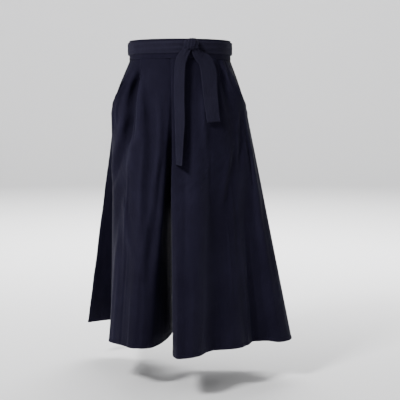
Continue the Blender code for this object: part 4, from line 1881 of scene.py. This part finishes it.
@dataclass
class Studio:
    """Pale floor, soft light and the camera."""

    floor_z: float = -1.058
    radius: float = 9.0
    rim: float = 3.0
    rim_steps: int = 8
    turn_steps: int = 72
    surroundings: float = 0.16
    camera_place: tuple[float, float, float] = (0.064, -3.02, -0.208)
    camera_pitch: float = 5.0
    camera_pixels: float = 937.0
    frame_pixels: float = 400.0
    sensor: float = 36.0

    LAMPS = (
        Lamp("key", (-1.45, -1.85, 1.5), (0.0, 0.0, -0.30), 120.0, 0.6),
        Lamp("rear", (1.2, 2.6, 1.6), (0.0, 0.0, -0.45), 55.0, 2.0),
        Lamp("ground_rear", (0.0, 3.0, 3.4), (0.0, 7.5, -1.0), 900.0, 4.0),
        Lamp("ground_left", (-3.4, 0.0, 3.4), (-8.0, 0.0, -1.0), 300.0, 4.0),
        Lamp("ground_right", (3.4, 0.0, 3.4), (8.0, 0.0, -1.0), 300.0, 4.0),
        Lamp("ground_front", (0.0, -4.2, 3.4), (0.0, -9.0, -1.0), 300.0, 4.0),
    )

    def floor(self) -> None:
        """Make the floor, a wide dish whose rim curves up."""
        shape = bmesh.new()
        profile = [shape.verts.new((0.0, 0.0, self.floor_z)),
                   shape.verts.new((self.radius, 0.0, self.floor_z))]
        for step in range(1, self.rim_steps + 1):
            angle = math.pi / 2 * step / self.rim_steps
            profile.append(shape.verts.new((
                self.radius + self.rim * math.sin(angle), 0.0,
                self.floor_z + self.rim * (1.0 - math.cos(angle)))))
        edges = [shape.edges.new(pair) for pair in zip(profile, profile[1:])]
        bmesh.ops.spin(shape, geom=profile + edges, cent=(0.0, 0.0, 0.0), axis=(0.0, 0.0, 1.0),
                       angle=math.tau, steps=self.turn_steps, use_merge=True)
        bmesh.ops.remove_doubles(shape, verts=shape.verts, dist=1e-5)
        bmesh.ops.recalc_face_normals(shape, faces=shape.faces)
        meshed("studio_floor", shape, Ground().make())

    def lights(self) -> None:
        """Set the soft lights and the pale surroundings."""
        for lamp in self.LAMPS:
            light = bpy.data.lights.new(lamp.name, "AREA")
            light.energy = lamp.power
            light.size = lamp.size
            stand = placed(lamp.name, light)
            stand.location = lamp.place
            away = Vector(lamp.place) - Vector(lamp.target)
            stand.rotation_euler = away.to_track_quat("Z", "Y").to_euler()
        world = bpy.data.worlds.new("pale_surroundings")
        world.use_nodes = True
        background = world.node_tree.nodes["Background"]
        background.inputs["Color"].default_value = (1.0, 1.0, 1.0, 1.0)
        background.inputs["Strength"].default_value = self.surroundings
        bpy.context.scene.world = world

    def camera(self) -> None:
        """Set the camera at a standing viewer's height, level with the hips."""
        lens = bpy.data.cameras.new("camera")
        lens.sensor_width = self.sensor
        lens.lens = self.sensor * self.camera_pixels / self.frame_pixels
        camera = placed("camera", lens)
        camera.location = self.camera_place
        camera.rotation_euler = (math.radians(90.0 - self.camera_pitch), 0.0, 0.0)
        bpy.context.scene.camera = camera


def main() -> None:
    """Build the garment, then its studio."""
    logging.basicConfig(level=logging.INFO, format="%(name)s: %(message)s")
    Trousers().build()
    studio = Studio()
    studio.floor()
    studio.lights()
    studio.camera()


if __name__ == "__main__":
    main()
